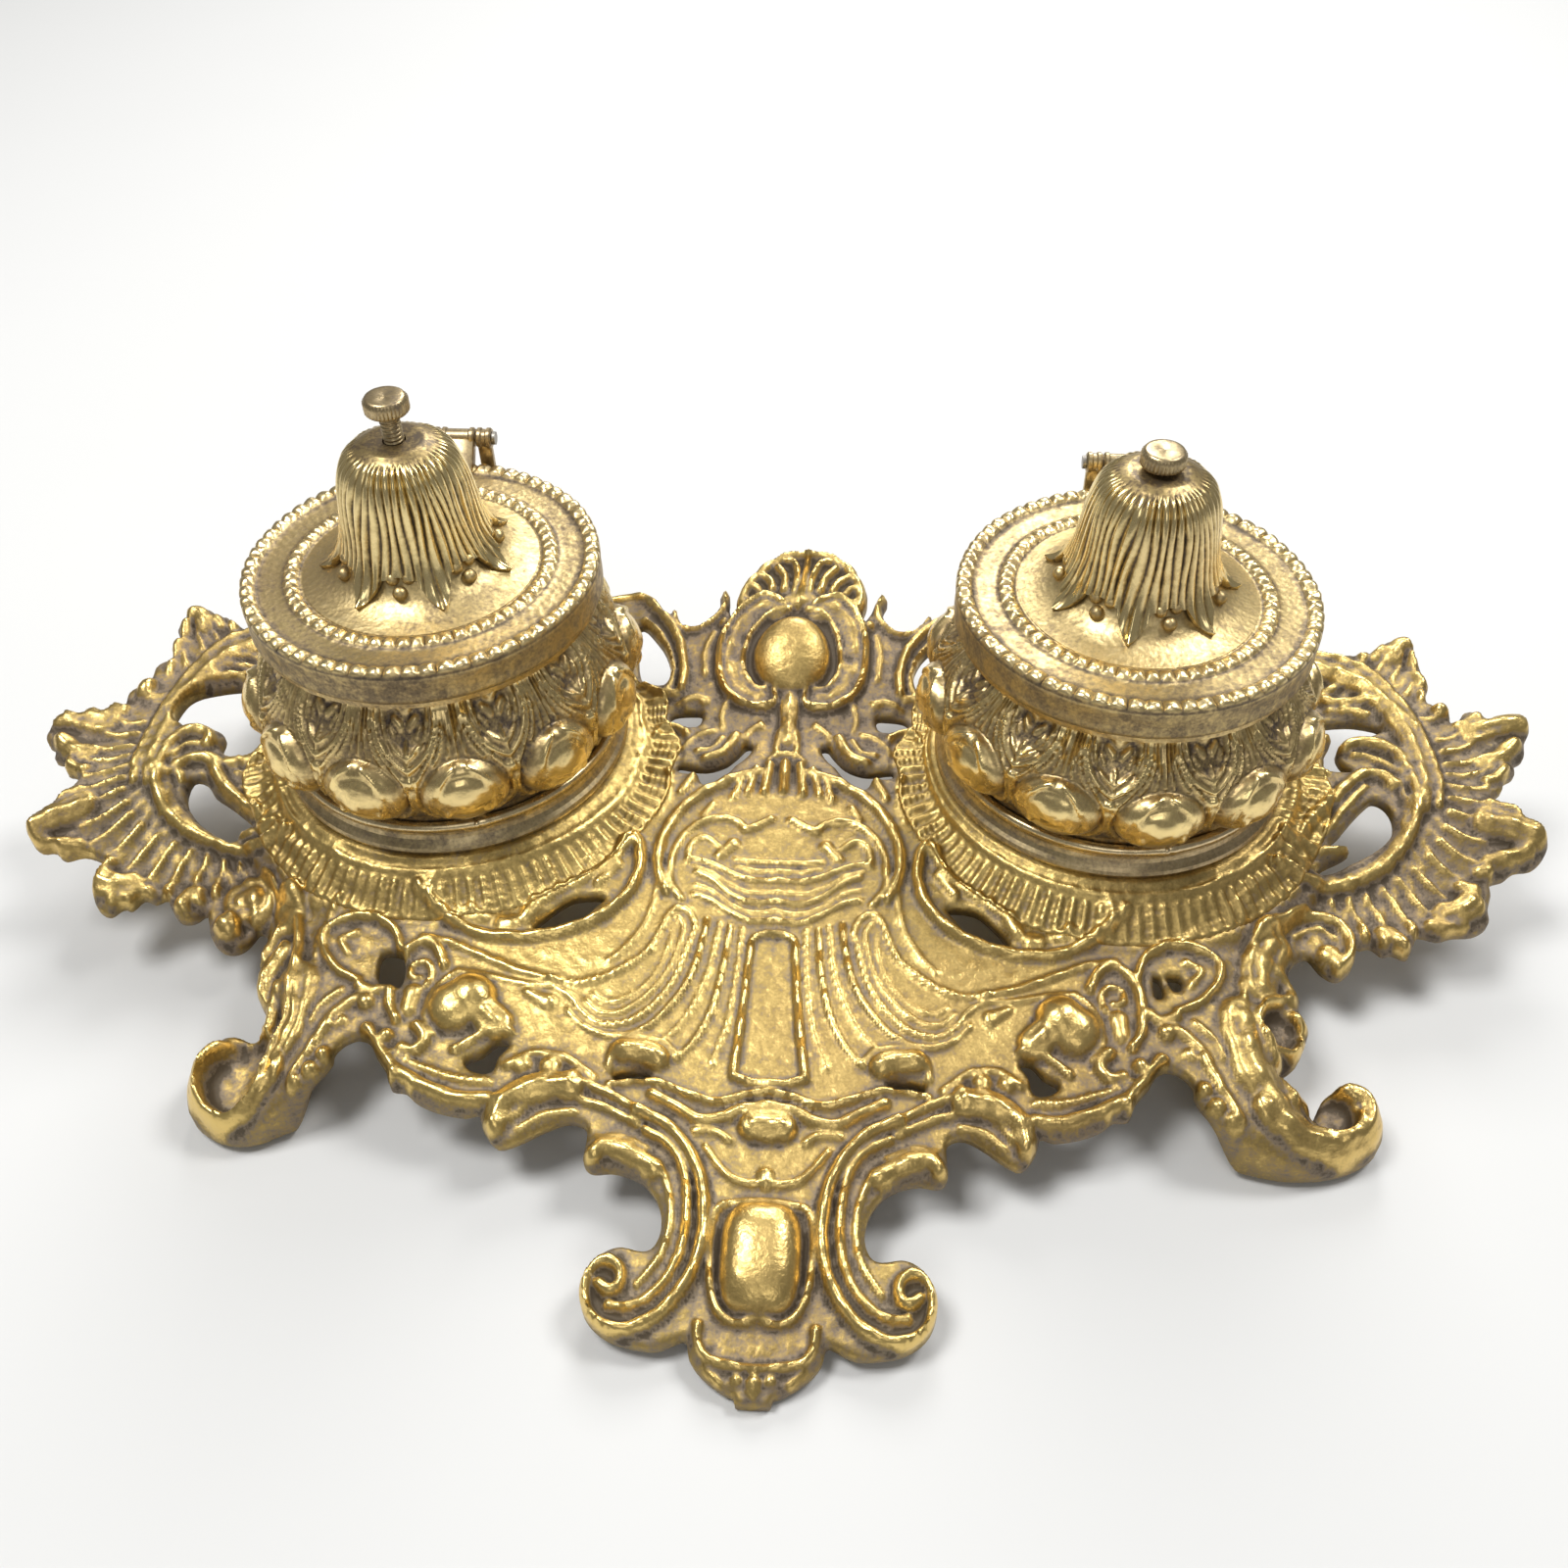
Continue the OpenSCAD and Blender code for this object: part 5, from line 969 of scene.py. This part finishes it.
def makePot(side):
    wall = denser(smoothLine(pot["wall"], 6).tolist() + pot["neck"], pot["rows"])
    profile = np.vstack([wall, pot["inside"]])
    bm, angle, row = spun(profile, pot["steps"])
    r0, z0 = profile[row].T
    face = outward(profile)[row]
    isWall = row < len(wall)
    part = (angle - math.radians(pot["turn"][side] - 75)) * pot["lobes"] / (2 * math.pi)
    count = np.round(part)
    across = np.abs(part - count) * pot["period"]
    lobe, ring, boss = pot["lobe"], pot["ring"], pot["boss"]
    q = np.hypot(across / lobe["half"][0], (z0 - lobe["at"]) / lobe["half"][1])
    bulge = rounded(q, 0.55)
    size = 0.3 + lobe["height"] * (1 + 0.05 * np.sin(count * 2.4 + side))
    bulge *= 1 - ring["depth"] * peak(q, ring["at"], ring["width"]) * (z0 > lobe["at"] - 4)
    onBoss = np.hypot(across / boss["half"][0], (z0 - lobe["at"] - 0.4) / boss["half"][1])
    bulge += boss["height"] * rounded(onBoss, 1)
    shield = ease((across - 5.4) / 0.8) * ease((z0 - 21.4) / 1.6) * ease((28 - z0) / 1.5)
    high = size * bulge - 0.75 * ease((z0 - 2.2) / 1.5) * ease((28.4 - z0) / 2)
    high -= shield * (0.55 + 0.16 * np.sin(across * 6.1) * np.sin(z0 * 5.7))
    fine = np.zeros(z0.shape)
    for w, h, points in pot["lines"]:
        fine = np.maximum(fine, h * rounded(nearLine(across, z0, smoothLine(points, 5))[0] / w, 0.7))
    high = np.where(isWall & (z0 < 28.6), high + fine, 0)
    high += 0.05 * np.sin(angle * 31 + z0) * np.sin(z0 * 1.7 + 2 * np.sin(angle * 7)) * isWall
    # painted shade on the lower halves of the lobes
    wornAndShaded = wearAndShadeOf(pot, lines=fine, lobes=bulge, shields=shield, neck=z0 > 29, foot=ease((4 - z0) / 3),
                  low=ease((13 - z0) / 8) * ease((z0 - 3) / 2))
    wornAndShaded = np.where(isWall, wornAndShaded, pot["wearAndShade"]["inside"])
    z = z0 + face[:, 1] * high + liftOf[side] * np.clip((z0 - 14) / 12, 0, 1)
    bm = settle(bm, angle, r0 + face[:, 0] * high, z, wornAndShaded, side, pot["base"])
    name = nameOf[side]
    addPiece(name + "_pot_body", bm, potBrass, "stand", name + "_pot", 60)


# wires round the foot of the pots
footWire = {
    "steps": 220,
    "ring": 35.05,
    "thick": 1.2,
    "height": 35.9,
    "joint": {1: -78.0, -1: -71.0},
    "gap": 1.4,  # degrees between the ends
    "bead": {"at": (35.3, -0.35, 0.1), "half": (1.25, 1.0, 1.2)},
}


def makeFootWire(side):
    ring, gap, bead = footWire["ring"], footWire["gap"], footWire["bead"]
    bm = bmesh.new()
    start = Matrix.Translation((ring, 0, 0)) @ Matrix.Rotation(math.pi / 2, 4, "X")
    bmesh.ops.create_circle(bm, cap_ends=True, segments=14, radius=footWire["thick"], matrix=start)
    bmesh.ops.spin(bm, geom=bm.verts[:] + bm.edges[:] + bm.faces[:], axis=(0, 0, 1), cent=(0, 0, 0),
                   angle=math.radians(360 - gap), steps=footWire["steps"])
    for v in bm.verts:
        # hammered a little wider near the ends
        a = math.atan2(v.co.y, v.co.x)
        end = min(a % (2 * math.pi), (-a) % (2 * math.pi))
        swell = 1 + 0.22 * math.exp(-((end - 0.03) / 0.022) ** 2) + 0.03 * math.sin(9 * a) * math.sin(23 * a)
        r = math.hypot(v.co.x, v.co.y)
        k = ring + (r - ring) * swell
        v.co.x, v.co.y, v.co.z = v.co.x * k / r, v.co.y * k / r, v.co.z * swell + 0.12 * math.sin(2 * a + 1)
    bmesh.ops.create_icosphere(bm, subdivisions=3, radius=1.0,
                               matrix=Matrix.Translation(bead["at"]) @ Matrix.Diagonal((*bead["half"], 1)))
    turn = Matrix.Rotation(math.radians(footWire["joint"][side] + gap / 2), 3, "Z")
    bmesh.ops.rotate(bm, verts=bm.verts[:], cent=(0, 0, 0), matrix=turn)
    bmesh.ops.translate(bm, verts=bm.verts[:], vec=(side * potX, backShift, footWire["height"]))
    name = nameOf[side]
    addPiece(name + "_wire_ring", toMetres(bm), wireBrass, "stand", name + "_foot_wire", 50)


# lids
lid = {
    "steps": 576,
    "rows": 0.34,
    "base": 66.2,
    "height": 6.8,
    "outer": {"ring": 34.0, "half": 1.6, "high": 1.1, "count": 67},
    "inner": {"ring": 25.6, "half": 1.5, "high": 1.0, "count": 61},
    "seam": {1: -60.0, -1: -52.0},
    # the band is darkened as painted shade where it faces down, and the ground between the beads as painted
    # shade
    "wearAndShade": {"all": 0.36, "beads": 0.46, "band": -0.08, "ground": 0.8, "crease": -0.24, "inside": 0.3},
    "middle": (2.2, 10, 16, 20, 22.5, 23.6),  # radii of the flat inside the inner beads
    "band": [(35.45, 4.4), (35.4, 3.2), (35.4, 2.0), (35.5, 1.2), (35.5, 0.6), (35.2, 0.1), (34.7, 0), (34, 0)],
}


def beads(reach, angle, ring, wave=0.0):
    across = (reach - ring["ring"]) / ring["half"]
    part = angle * ring["count"] / (2 * math.pi) + wave
    along = (part - np.round(part)) * 2.06
    return ring["high"] * rounded(across) * rounded(along)


def makeLid(side):
    top, rows, outer, inner = (lid[k] for k in ("height", "rows", "outer", "inner"))
    face = denser([(r, top) for r in lid["middle"]], 4).tolist()
    face += denser([(24, top), (27.2, top)], rows).tolist()
    face += denser([(28, top - 0.1), (32, top - 0.1)], 0.9).tolist()
    edge = denser([(32.3, top), (34.8, top), (35.3, top - 0.25), (35.5, top - 0.8)], rows).tolist()
    under = [(r, top - 1.6) for r in (34, 20, 2.2)]
    profile = np.array(face + edge + [(35.5, top - 1.4)] + lid["band"] + under)[::-1]
    bm, angle, row = spun(profile, lid["steps"])
    normal = outward(profile)[row]
    r0, z0 = profile[row].T
    shown = row > 4
    reach = r0 + np.maximum(0, top - z0) * (r0 > 35)
    high = beads(reach, angle, outer) + beads(r0, angle, inner, 0.3)
    high = np.where(shown & (z0 > top - 1.7), high, 0)
    # the band was filed by hand: faint flats, and the seam where its ends meet
    onBand = z0 < top - 0.9
    flats = 0.06 * np.sin(angle * 9 + 1) * np.sin(angle * 17) * (r0 > 35) * onBand
    turn = (angle - math.radians(lid["seam"][side]) + math.pi) % (2 * math.pi) - math.pi
    flats -= 0.16 * peak(turn, 0, 0.012) * (r0 > 35.2) * onBand
    ground = 0.05 * np.sin(r0 * 3.1 + 3 * np.sin(angle * 5)) + 0.04 * np.sin(angle * 90 + r0 * 2)
    ground *= z0 > top - 0.2
    onRing = (np.abs(reach - outer["ring"]) < 2.1) | (np.abs(r0 - inner["ring"]) < 1.9)
    # painted shade on the band and between the beads
    wornAndShaded = wearAndShadeOf(lid, beads=np.minimum(1, high), band=(r0 > 35.2) & (z0 < top - 1), ground=ground,
                  crease=onRing & (high < 0.3) & (z0 > top - 1))
    wornAndShaded = np.where(shown, wornAndShaded, lid["wearAndShade"]["inside"])
    rise = high + flats + ground
    radius, height = np.minimum(r0 + normal[:, 0] * rise, 36.1), z0 + normal[:, 1] * rise
    bm = settle(bm, angle, radius, height, wornAndShaded, side, lid["base"] + liftOf[side])
    name = nameOf[side]
    addPiece(name + "_lid_disc", bm, lidBrass, name + "_lid_body", name + "_lid", 60)


# flower finials
finial = {
    "steps": 560,
    "rows": 0.5,
    "base": 73.0,
    "leaves": 7,
    "reeds": 48,
    "gap": 6.4,  # how high the leaves part
    "turn": {1: -102.5, -1: -63.5},
    "thick": 0.95,
    "wearAndShade": {"all": 0.47, "reeds": 0.85, "tips": 0.2, "top": -0.18, "shoulder": 0.25, "inside": 0.2,
             "berries": 0.42, "core": 0.25},
    "bell": [(6, 27.9), (7.6, 27.2), (9.4, 26.0), (11, 24), (12.2, 20.4), (12.9, 16), (13.6, 11.4), (14.6, 7.6),
             (15.9, 4.9), (17.5, 3.0), (19.6, 1.75)],
    "neck": [(2.2, 26.6), (2.2, 28), (5.2, 28)],
    "core": [(2.2, -0.15), (23.4, -0.15), (23.4, 0.12), (20.8, 0.7), (18.6, 1.5), (16.6, 2.6), (15.0, 4.1),
             (13.8, 5.8), (12.9, 7.6), (12.2, 9.4), (11.6, 10.8), (2.2, 11)],
    # berries in each gap: turn, reach, height, size
    "berries": [(-0.105, 14.0, 6.2, 1.35), (0.115, 13.9, 6.4, 1.2825), (0.0, 15.6, 4.1, 1.458)],
}


def makeBell(side):
    bell = denser(smoothLine(finial["bell"], 8).tolist(), finial["rows"])
    away = np.stack([-np.gradient(bell[:, 1]), np.gradient(bell[:, 0])], 1)
    away /= np.hypot(*away.T)[:, None]
    inner = (bell - away)[::-3]
    profile = np.vstack([bell, inner, finial["neck"]])
    path = np.concatenate([[0], np.cumsum(np.hypot(*np.diff(bell, axis=0).T))])
    full = path[-1]
    bm, angle, row = spun(profile, finial["steps"])
    onBell, onInner = row < len(bell), (row >= len(bell)) & (row < len(bell) + len(inner))
    place = np.zeros(row.shape)
    place[onBell] = path[row[onBell]]
    place[onInner] = path[::-3][row[onInner] - len(bell)]
    # the hem is drawn down to a tip at each leaf and up to the gaps between
    share = 2 * math.pi / finial["leaves"]
    part = (angle - math.radians(finial["turn"][side])) / share
    off = part - np.round(part)
    w = np.abs(off) * 2
    gapAt, start = (np.interp(-height, -bell[:, 1], path) for height in (finial["gap"], 13))
    tip = np.clip(1 - w / 0.46, 0, 1)
    stop = gapAt + (full - gapAt) * np.where(tip > 0, tip ** 0.72, 0) - 0.9 * ease((w - 0.5) / 0.5)
    moved = np.where(place > start, start + (place - start) * (stop - start) / (full - start), place)
    r, z, nr, nz = (np.interp(moved, path, a) for a in (*bell.T, *away.T))
    draw = ease((moved - start) / (full - start)) * np.clip(1 - w / 0.5, 0, 1)
    phase = (angle - off * share * 0.25 * draw) * finial["reeds"] / 2 + 0.9 * np.sin(angle * 3 + z * 0.14)
    phase += 0.55 * np.sin(angle * 7 + 0.22 * z + 1) + 0.3 * np.sin(angle * 13 - 0.3 * z)
    fade = ease((path[row.clip(0, len(bell) - 1)] - 1.2) / 3.2)
    reed = np.abs(np.cos(phase)) ** 0.8
    depth = 0.58 + 0.3 * np.sin(angle * 9 + 0.25 * z + 1) * np.sin(angle * 4)
    depth -= 0.28 * ease((0.5 - w) / 0.3) * ease((9 - z) / 4)
    low = ease((10 - z) / 5)
    veins = 0.5 * peak(off, 0, 0.03) + 0.35 * peak(w, 0.36, 0.08)
    rise = np.where(onBell, fade * depth * (reed - 0.6) + low * veins, 0) - finial["thick"] * onInner
    radius, height = r + nr * rise, z + nz * rise
    other = ~(onBell | onInner)
    radius[other], height[other] = profile[row[other]].T
    wornAndShaded = wearAndShadeOf(finial, reeds=fade * (reed - 0.55), tips=low, top=z > 26.6,
                  shoulder=ease((z - 20) / 3) * ease((27 - z) / 2))
    wornAndShaded = np.where(onBell, wornAndShaded, finial["wearAndShade"]["inside"])
    return settle(bm, angle, radius, np.maximum(height, 0.05), wornAndShaded, side, finial["base"] + liftOf[side])


def makeCore(side):
    # the core the leaves stand round, with three berries in each gap
    core = np.array(finial["core"])
    bm, angle, row = spun(core, 96)
    for i in range(finial["leaves"]):
        a = math.radians(finial["turn"][side]) + (i + 0.5) * 2 * math.pi / finial["leaves"]
        for turn, reach, up, size in finial["berries"]:
            spot = Matrix.Translation((reach * math.cos(a + turn), reach * math.sin(a + turn), up))
            bmesh.ops.create_icosphere(bm, subdivisions=3, radius=size, matrix=spot)
    x, y, z = np.array([v.co[:] for v in bm.verts]).T
    wornAndShaded = np.where(np.hypot(x, y) > 12, *(finial["wearAndShade"][part] for part in ("berries", "core")))
    centre = (side * potX, backShift, finial["base"] + liftOf[side])
    return toMetres(placed(bm, x + centre[0], y + centre[1], z + centre[2], wornAndShaded))


def makeFinial(side):
    name = nameOf[side]
    for part, make, finish, sharp in (("bell", makeBell, finialBrass, 70), ("core", makeCore, lidBrass, 60)):
        piece = f"{name}_finial_{part}"
        addPiece(piece, make(side), finish, name + "_lid_body", name + "_finial", sharp)


# knurled knobs
knob = {
    "radius": 4.2,
    "height": 3.5,
    "teeth": 34,
    "steps": 8,  # points to a tooth
    # outline as parts of the radius and the height
    "outline": [(0.004, 0.93), (0.35, 0.95), (0.74, 0.97), (0.88, 0.93), (0.97, 0.85), (1, 0.75), (1, 0.56),
                (1, 0.3), (1, 0.16), (0.92, 0.06), (0.8, 0), (0.4, 0), (0.004, 0.05)],
    "thread": {"radius": 1.98, "depth": 0.32, "pitch": 0.8, "rows": 0.13},
    "wearAndShade": {"all": 0.36, "teeth": 1.1, "top": 0.06},
}


def makeKnob(side):
    name = nameOf[side]
    lowZ, topZ = (c[2] * 1000 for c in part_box(name + "_finial_knob"))
    body, rr, h, thread = topZ - knob["height"], knob["radius"], knob["height"], knob["thread"]
    profile = np.array(knob["outline"]) * (rr, h)
    bm, angle, row = spun(profile, knob["teeth"] * knob["steps"])
    r0, z0 = profile[row].T
    rim = r0 > 0.95 * rr
    tooth = 0.26 * np.abs(np.cos(angle * knob["teeth"] / 2 + 0.4 * np.sin(z0 * 1.3))) * rim * (z0 < 0.8 * h)
    dent = 0.05 * np.sin(angle * 2 + 1) * (z0 > 0.85 * h) * (r0 < 0.88 * rr)
    wornAndShaded = wearAndShadeOf(knob, teeth=tooth, top=z0 > 0.8 * h)
    head = settle(bm, angle, r0 - 0.24 * rim + tooth, z0 + dent, wornAndShaded, side, body)
    tip = lowZ - body
    rows = [(thread["radius"], z) for z in np.arange(0.3, tip, -thread["rows"])]
    profile = np.array([(0.3, 0.3), *rows, (0.3, tip)])[::-1]
    bm, angle, row = spun(profile, 24)
    r0, z0 = profile[row].T
    cut = thread["depth"] * (0.5 - 0.5 * np.cos(angle - 2 * math.pi * z0 / thread["pitch"])) * (r0 > 1)
    screw = settle(bm, angle, r0 - cut, z0, knob["wearAndShade"]["all"] - cut, side, body)
    for part, bm, sharp in (("head", head, 60), ("screw", screw, 80)):
        piece = f"{name}_knob_{part}"
        addPiece(piece, bm, turnedBrass, name + "_knob_body", name + "_finial_knob", sharp)


# hinges
hinge = {
    "radius": 2.2,
    "pin": 0.96,
    "ring": 1.0,  # width of the collar at each end of a knuckle
    "groove": 0.3,
    "chamfer": 0.35,
    "leaf": {"inset": 0.1, "soften": 0.25},
    "plate": {"height": 5.4, "back": 3.4, "front": 0.3},
    "strap": {"back": 1.4, "inset": 0.15, "up": 1.0},
    "rivet": {"radius": 1.1, "up": 2.7},
}


def addKnuckle(bm, start, end, y, z):
    w, g, edge, radius = end - start, hinge["groove"], hinge["chamfer"], hinge["radius"]
    half = [0, 0, edge, hinge["ring"], hinge["ring"] + g]
    out = [hinge["pin"], radius - edge, radius, radius, radius - g]
    part, angle, row = spun(np.stack([out + out[::-1], half + [w - a for a in half[::-1]]], 1), 40)
    bmesh.ops.rotate(part, verts=part.verts[:], matrix=Matrix.Rotation(math.pi / 2, 3, "Y"))
    bmesh.ops.translate(part, verts=part.verts[:], vec=(start, y, z))
    whole = bpy.data.meshes.new("part")
    part.to_mesh(whole)
    bm.from_mesh(whole)
    bpy.data.meshes.remove(whole)
    part.free()


def bevelled(bm, edges, offset, segments):
    bmesh.ops.bevel(bm, geom=edges, offset=offset, segments=segments, profile=0.5, affect="EDGES", material=-1)


def addBlock(bm, low, high):
    size, mid = np.subtract(high, low), np.add(high, low) / 2
    made = bmesh.ops.create_cube(bm, size=1, matrix=Matrix.Translation(mid) @ Matrix.Diagonal((*size, 1)))
    bevelled(bm, list({e for v in made["verts"] for e in v.link_edges}), hinge["chamfer"], 3)


def makeHinge(side):
    name, radius = nameOf[side], hinge["radius"]
    leaf, plate, strap, rivet = (hinge[k] for k in ("leaf", "plate", "strap", "rivet"))
    low, high = (np.array(c) * 1000 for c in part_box(name + "_lid_hinge"))
    potLow, potHigh = (np.array(c) * 1000 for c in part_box(name + "_pot_hinge"))
    y, z = high[1] - radius, high[2] - radius
    # lid half: a tapering leaf that rises from the lid to the middle knuckle
    bm = bmesh.new()
    outline = [(low[1], low[2] + 0.9), (low[1], low[2]), (low[1] + 4.4, low[2]), (y - 0.6, z - radius + 0.3),
               (y - 0.4, z + radius - 0.5), (low[1] + 3.2, low[2] + 3.4), (low[1] + 1.4, low[2] + 2)]
    face = bm.faces.new([bm.verts.new((low[0] + leaf["inset"], *p)) for p in outline])
    made = bmesh.ops.extrude_face_region(bm, geom=[face], use_keep_orig=True)
    bmesh.ops.translate(bm, verts=newVerts(made), vec=(high[0] - low[0] - 2 * leaf["inset"], 0, 0))
    bevelled(bm, bm.edges[:], leaf["soften"], 2)
    addKnuckle(bm, low[0], high[0], y, z)
    addPiece(name + "_lid_hinge_half", toMetres(bm), turnedBrass, name + "_lid_body", name + "_lid_hinge",
             40)
    # pot half: a riveted plate on the neck, two straps and the outer knuckles
    bm = bmesh.new()
    foot, front = potLow[2], y + plate["front"]
    addBlock(bm, (potLow[0], y - plate["back"], foot), (potHigh[0], front, foot + plate["height"]))
    for start, end in ((potLow[0], low[0] - 0.3), (high[0] + 0.3, potHigh[0])):
        inset = strap["inset"]
        addBlock(bm, (start + inset, y - strap["back"], foot + strap["up"]), (end - inset, front, z))
        addKnuckle(bm, start, end, y, z)
        spot = Matrix.Translation(((start + end) / 2, front, foot + rivet["up"]))
        bmesh.ops.create_uvsphere(bm, u_segments=20, v_segments=12, radius=rivet["radius"],
                                  matrix=spot @ Matrix.Diagonal((1, 0.5, 1, 1)))
    addPiece(name + "_pot_hinge_half", toMetres(bm), turnedBrass, "stand", name + "_pot_hinge",
             40)


# back feet
backFoot = {
    "leg": [((88, 35.6, 26), 5.2), ((89, 40, 21), 5.0), ((91, 44, 14), 4.4), ((91.4, 45.4, 8), 4.0),
            ((90, 45, 3.4), 4.6), ((88, 44.6, 0.1), 5.6)],  # centre and radius, from the plate down
    "flutes": 6,
    "wornAndShaded": 0.38,
}


def makeBackFoot(side):
    places = smoothLine([p for p, r in backFoot["leg"]], 5)
    at = np.linspace(0, 1, len(backFoot["leg"]))
    sizes = np.interp(np.linspace(0, 1, len(places)), at, [r for p, r in backFoot["leg"]])
    bm = bmesh.new()
    bmesh.ops.create_circle(bm, cap_ends=True, segments=28, radius=1.0)
    face = bm.faces[:][0]
    for i, (p, r) in enumerate(zip(places, sizes)):
        if i:
            made = bmesh.ops.extrude_face_region(bm, geom=[face], use_keep_orig=(i == 1))
            face = [g for g in made["geom"] if isinstance(g, bmesh.types.BMFace)][0]
        for k, v in enumerate(face.verts):
            a = 2 * math.pi * k / len(face.verts)
            w = r * (1 + 0.10 * math.cos(backFoot["flutes"] * a))
            v.co = (side * p[0] + w * math.cos(a), p[1] + backShift + w * math.sin(a) * 0.9, p[2])
    layer = bm.verts.layers.float.new("wornAndShaded")
    for v in bm.verts:
        v[layer] = backFoot["wornAndShaded"]
    addPiece("back_foot_" + nameOf[side], toMetres(bm), trayBrass, "stand", "base_casting", 50)


for note, makers in (("casting made", (makeCastHalf, makeSeat, makeBackFoot)),
                     ("pots made", (makePot, makeFootWire)),
                     ("lids and finials made", (makeLid, makeFinial, makeKnob, makeHinge))):
    for side in (1, -1):
        for make in makers:
            make(side)
    print(note)


# lights, floor and camera
cameraView = {"place": (17.0, -193.6, 250.6), "pan": -3.964, "tilt": 44.798, "roll": 1.006, "lens": 33.75}
studio = {
    "floor": ((0.66, 0.66, 0.65), (0.70, 0.70, 0.69)),
    "world": ((0.78, 0.775, 0.76, 1), 0.27),
    "aim": (0, 0, 0.03),
    # place, size, watts
    "lamps": [((-0.45, -0.05, 1.1), 0.4, 8.5), ((0.6, 0.3, 1.0), 0.35, 6.5), ((0.05, 1.0, 0.8), 0.5, 7.5),
              ((0.1, -0.9, 0.8), 0.5, 1.2)],
}


def makeCamera(view):
    pan, tilt, roll = (math.radians(view[k]) for k in ("pan", "tilt", "roll"))
    ahead = Vector((math.sin(pan) * math.cos(tilt), math.cos(pan) * math.cos(tilt), -math.sin(tilt)))
    right = Vector((math.cos(pan), -math.sin(pan), 0))
    down = ahead.cross(right)
    c, s = math.cos(roll), math.sin(roll)
    right, down = c * right + s * down, -s * right + c * down
    data = bpy.data.cameras.new("camera")
    data.lens, data.sensor_width, data.clip_start, data.clip_end = view["lens"], 36, 0.01, 20
    cam = bpy.data.objects.new("camera", data)
    facing = Matrix((right, -down, -ahead)).transposed().to_4x4()
    cam.matrix_world = Matrix.Translation(Vector(view["place"]) * 0.001) @ facing
    bpy.context.scene.collection.objects.link(cam)
    bpy.context.scene.camera = cam


def makeStudio():
    mat, tree, shader, place = nodesOf("studio floor")
    pale = colours(tree, noise(tree, place, 3), *enumerate(studio["floor"]))
    tree.links.new(pale, shader.inputs["Base Color"])
    shader.inputs["Roughness"].default_value = 0.8
    bm = bmesh.new()
    bmesh.ops.create_grid(bm, x_segments=2, y_segments=2, size=3.0)
    bmesh.ops.translate(bm, verts=bm.verts[:], vec=(0, 0, -0.0002))
    addPiece("floor", bm, mat, None)
    world = bpy.data.worlds.new("studio")
    bpy.context.scene.world = world
    world.use_nodes = True
    back = world.node_tree.nodes["Background"]
    back.inputs["Color"].default_value, back.inputs["Strength"].default_value = studio["world"]
    for i, (spot, size, watts) in enumerate(studio["lamps"]):
        data = bpy.data.lights.new(f"lamp_{i}", "AREA")
        data.shape, data.size, data.energy = "SQUARE", size, watts
        lamp = bpy.data.objects.new(f"lamp_{i}", data)
        lamp.location = spot
        lamp.rotation_euler = (Vector(spot) - Vector(studio["aim"])).to_track_quat("Z", "Y").to_euler()
        bpy.context.scene.collection.objects.link(lamp)


makeCamera(cameraView)
makeStudio()
bpy.context.scene.view_settings.view_transform = "Standard"
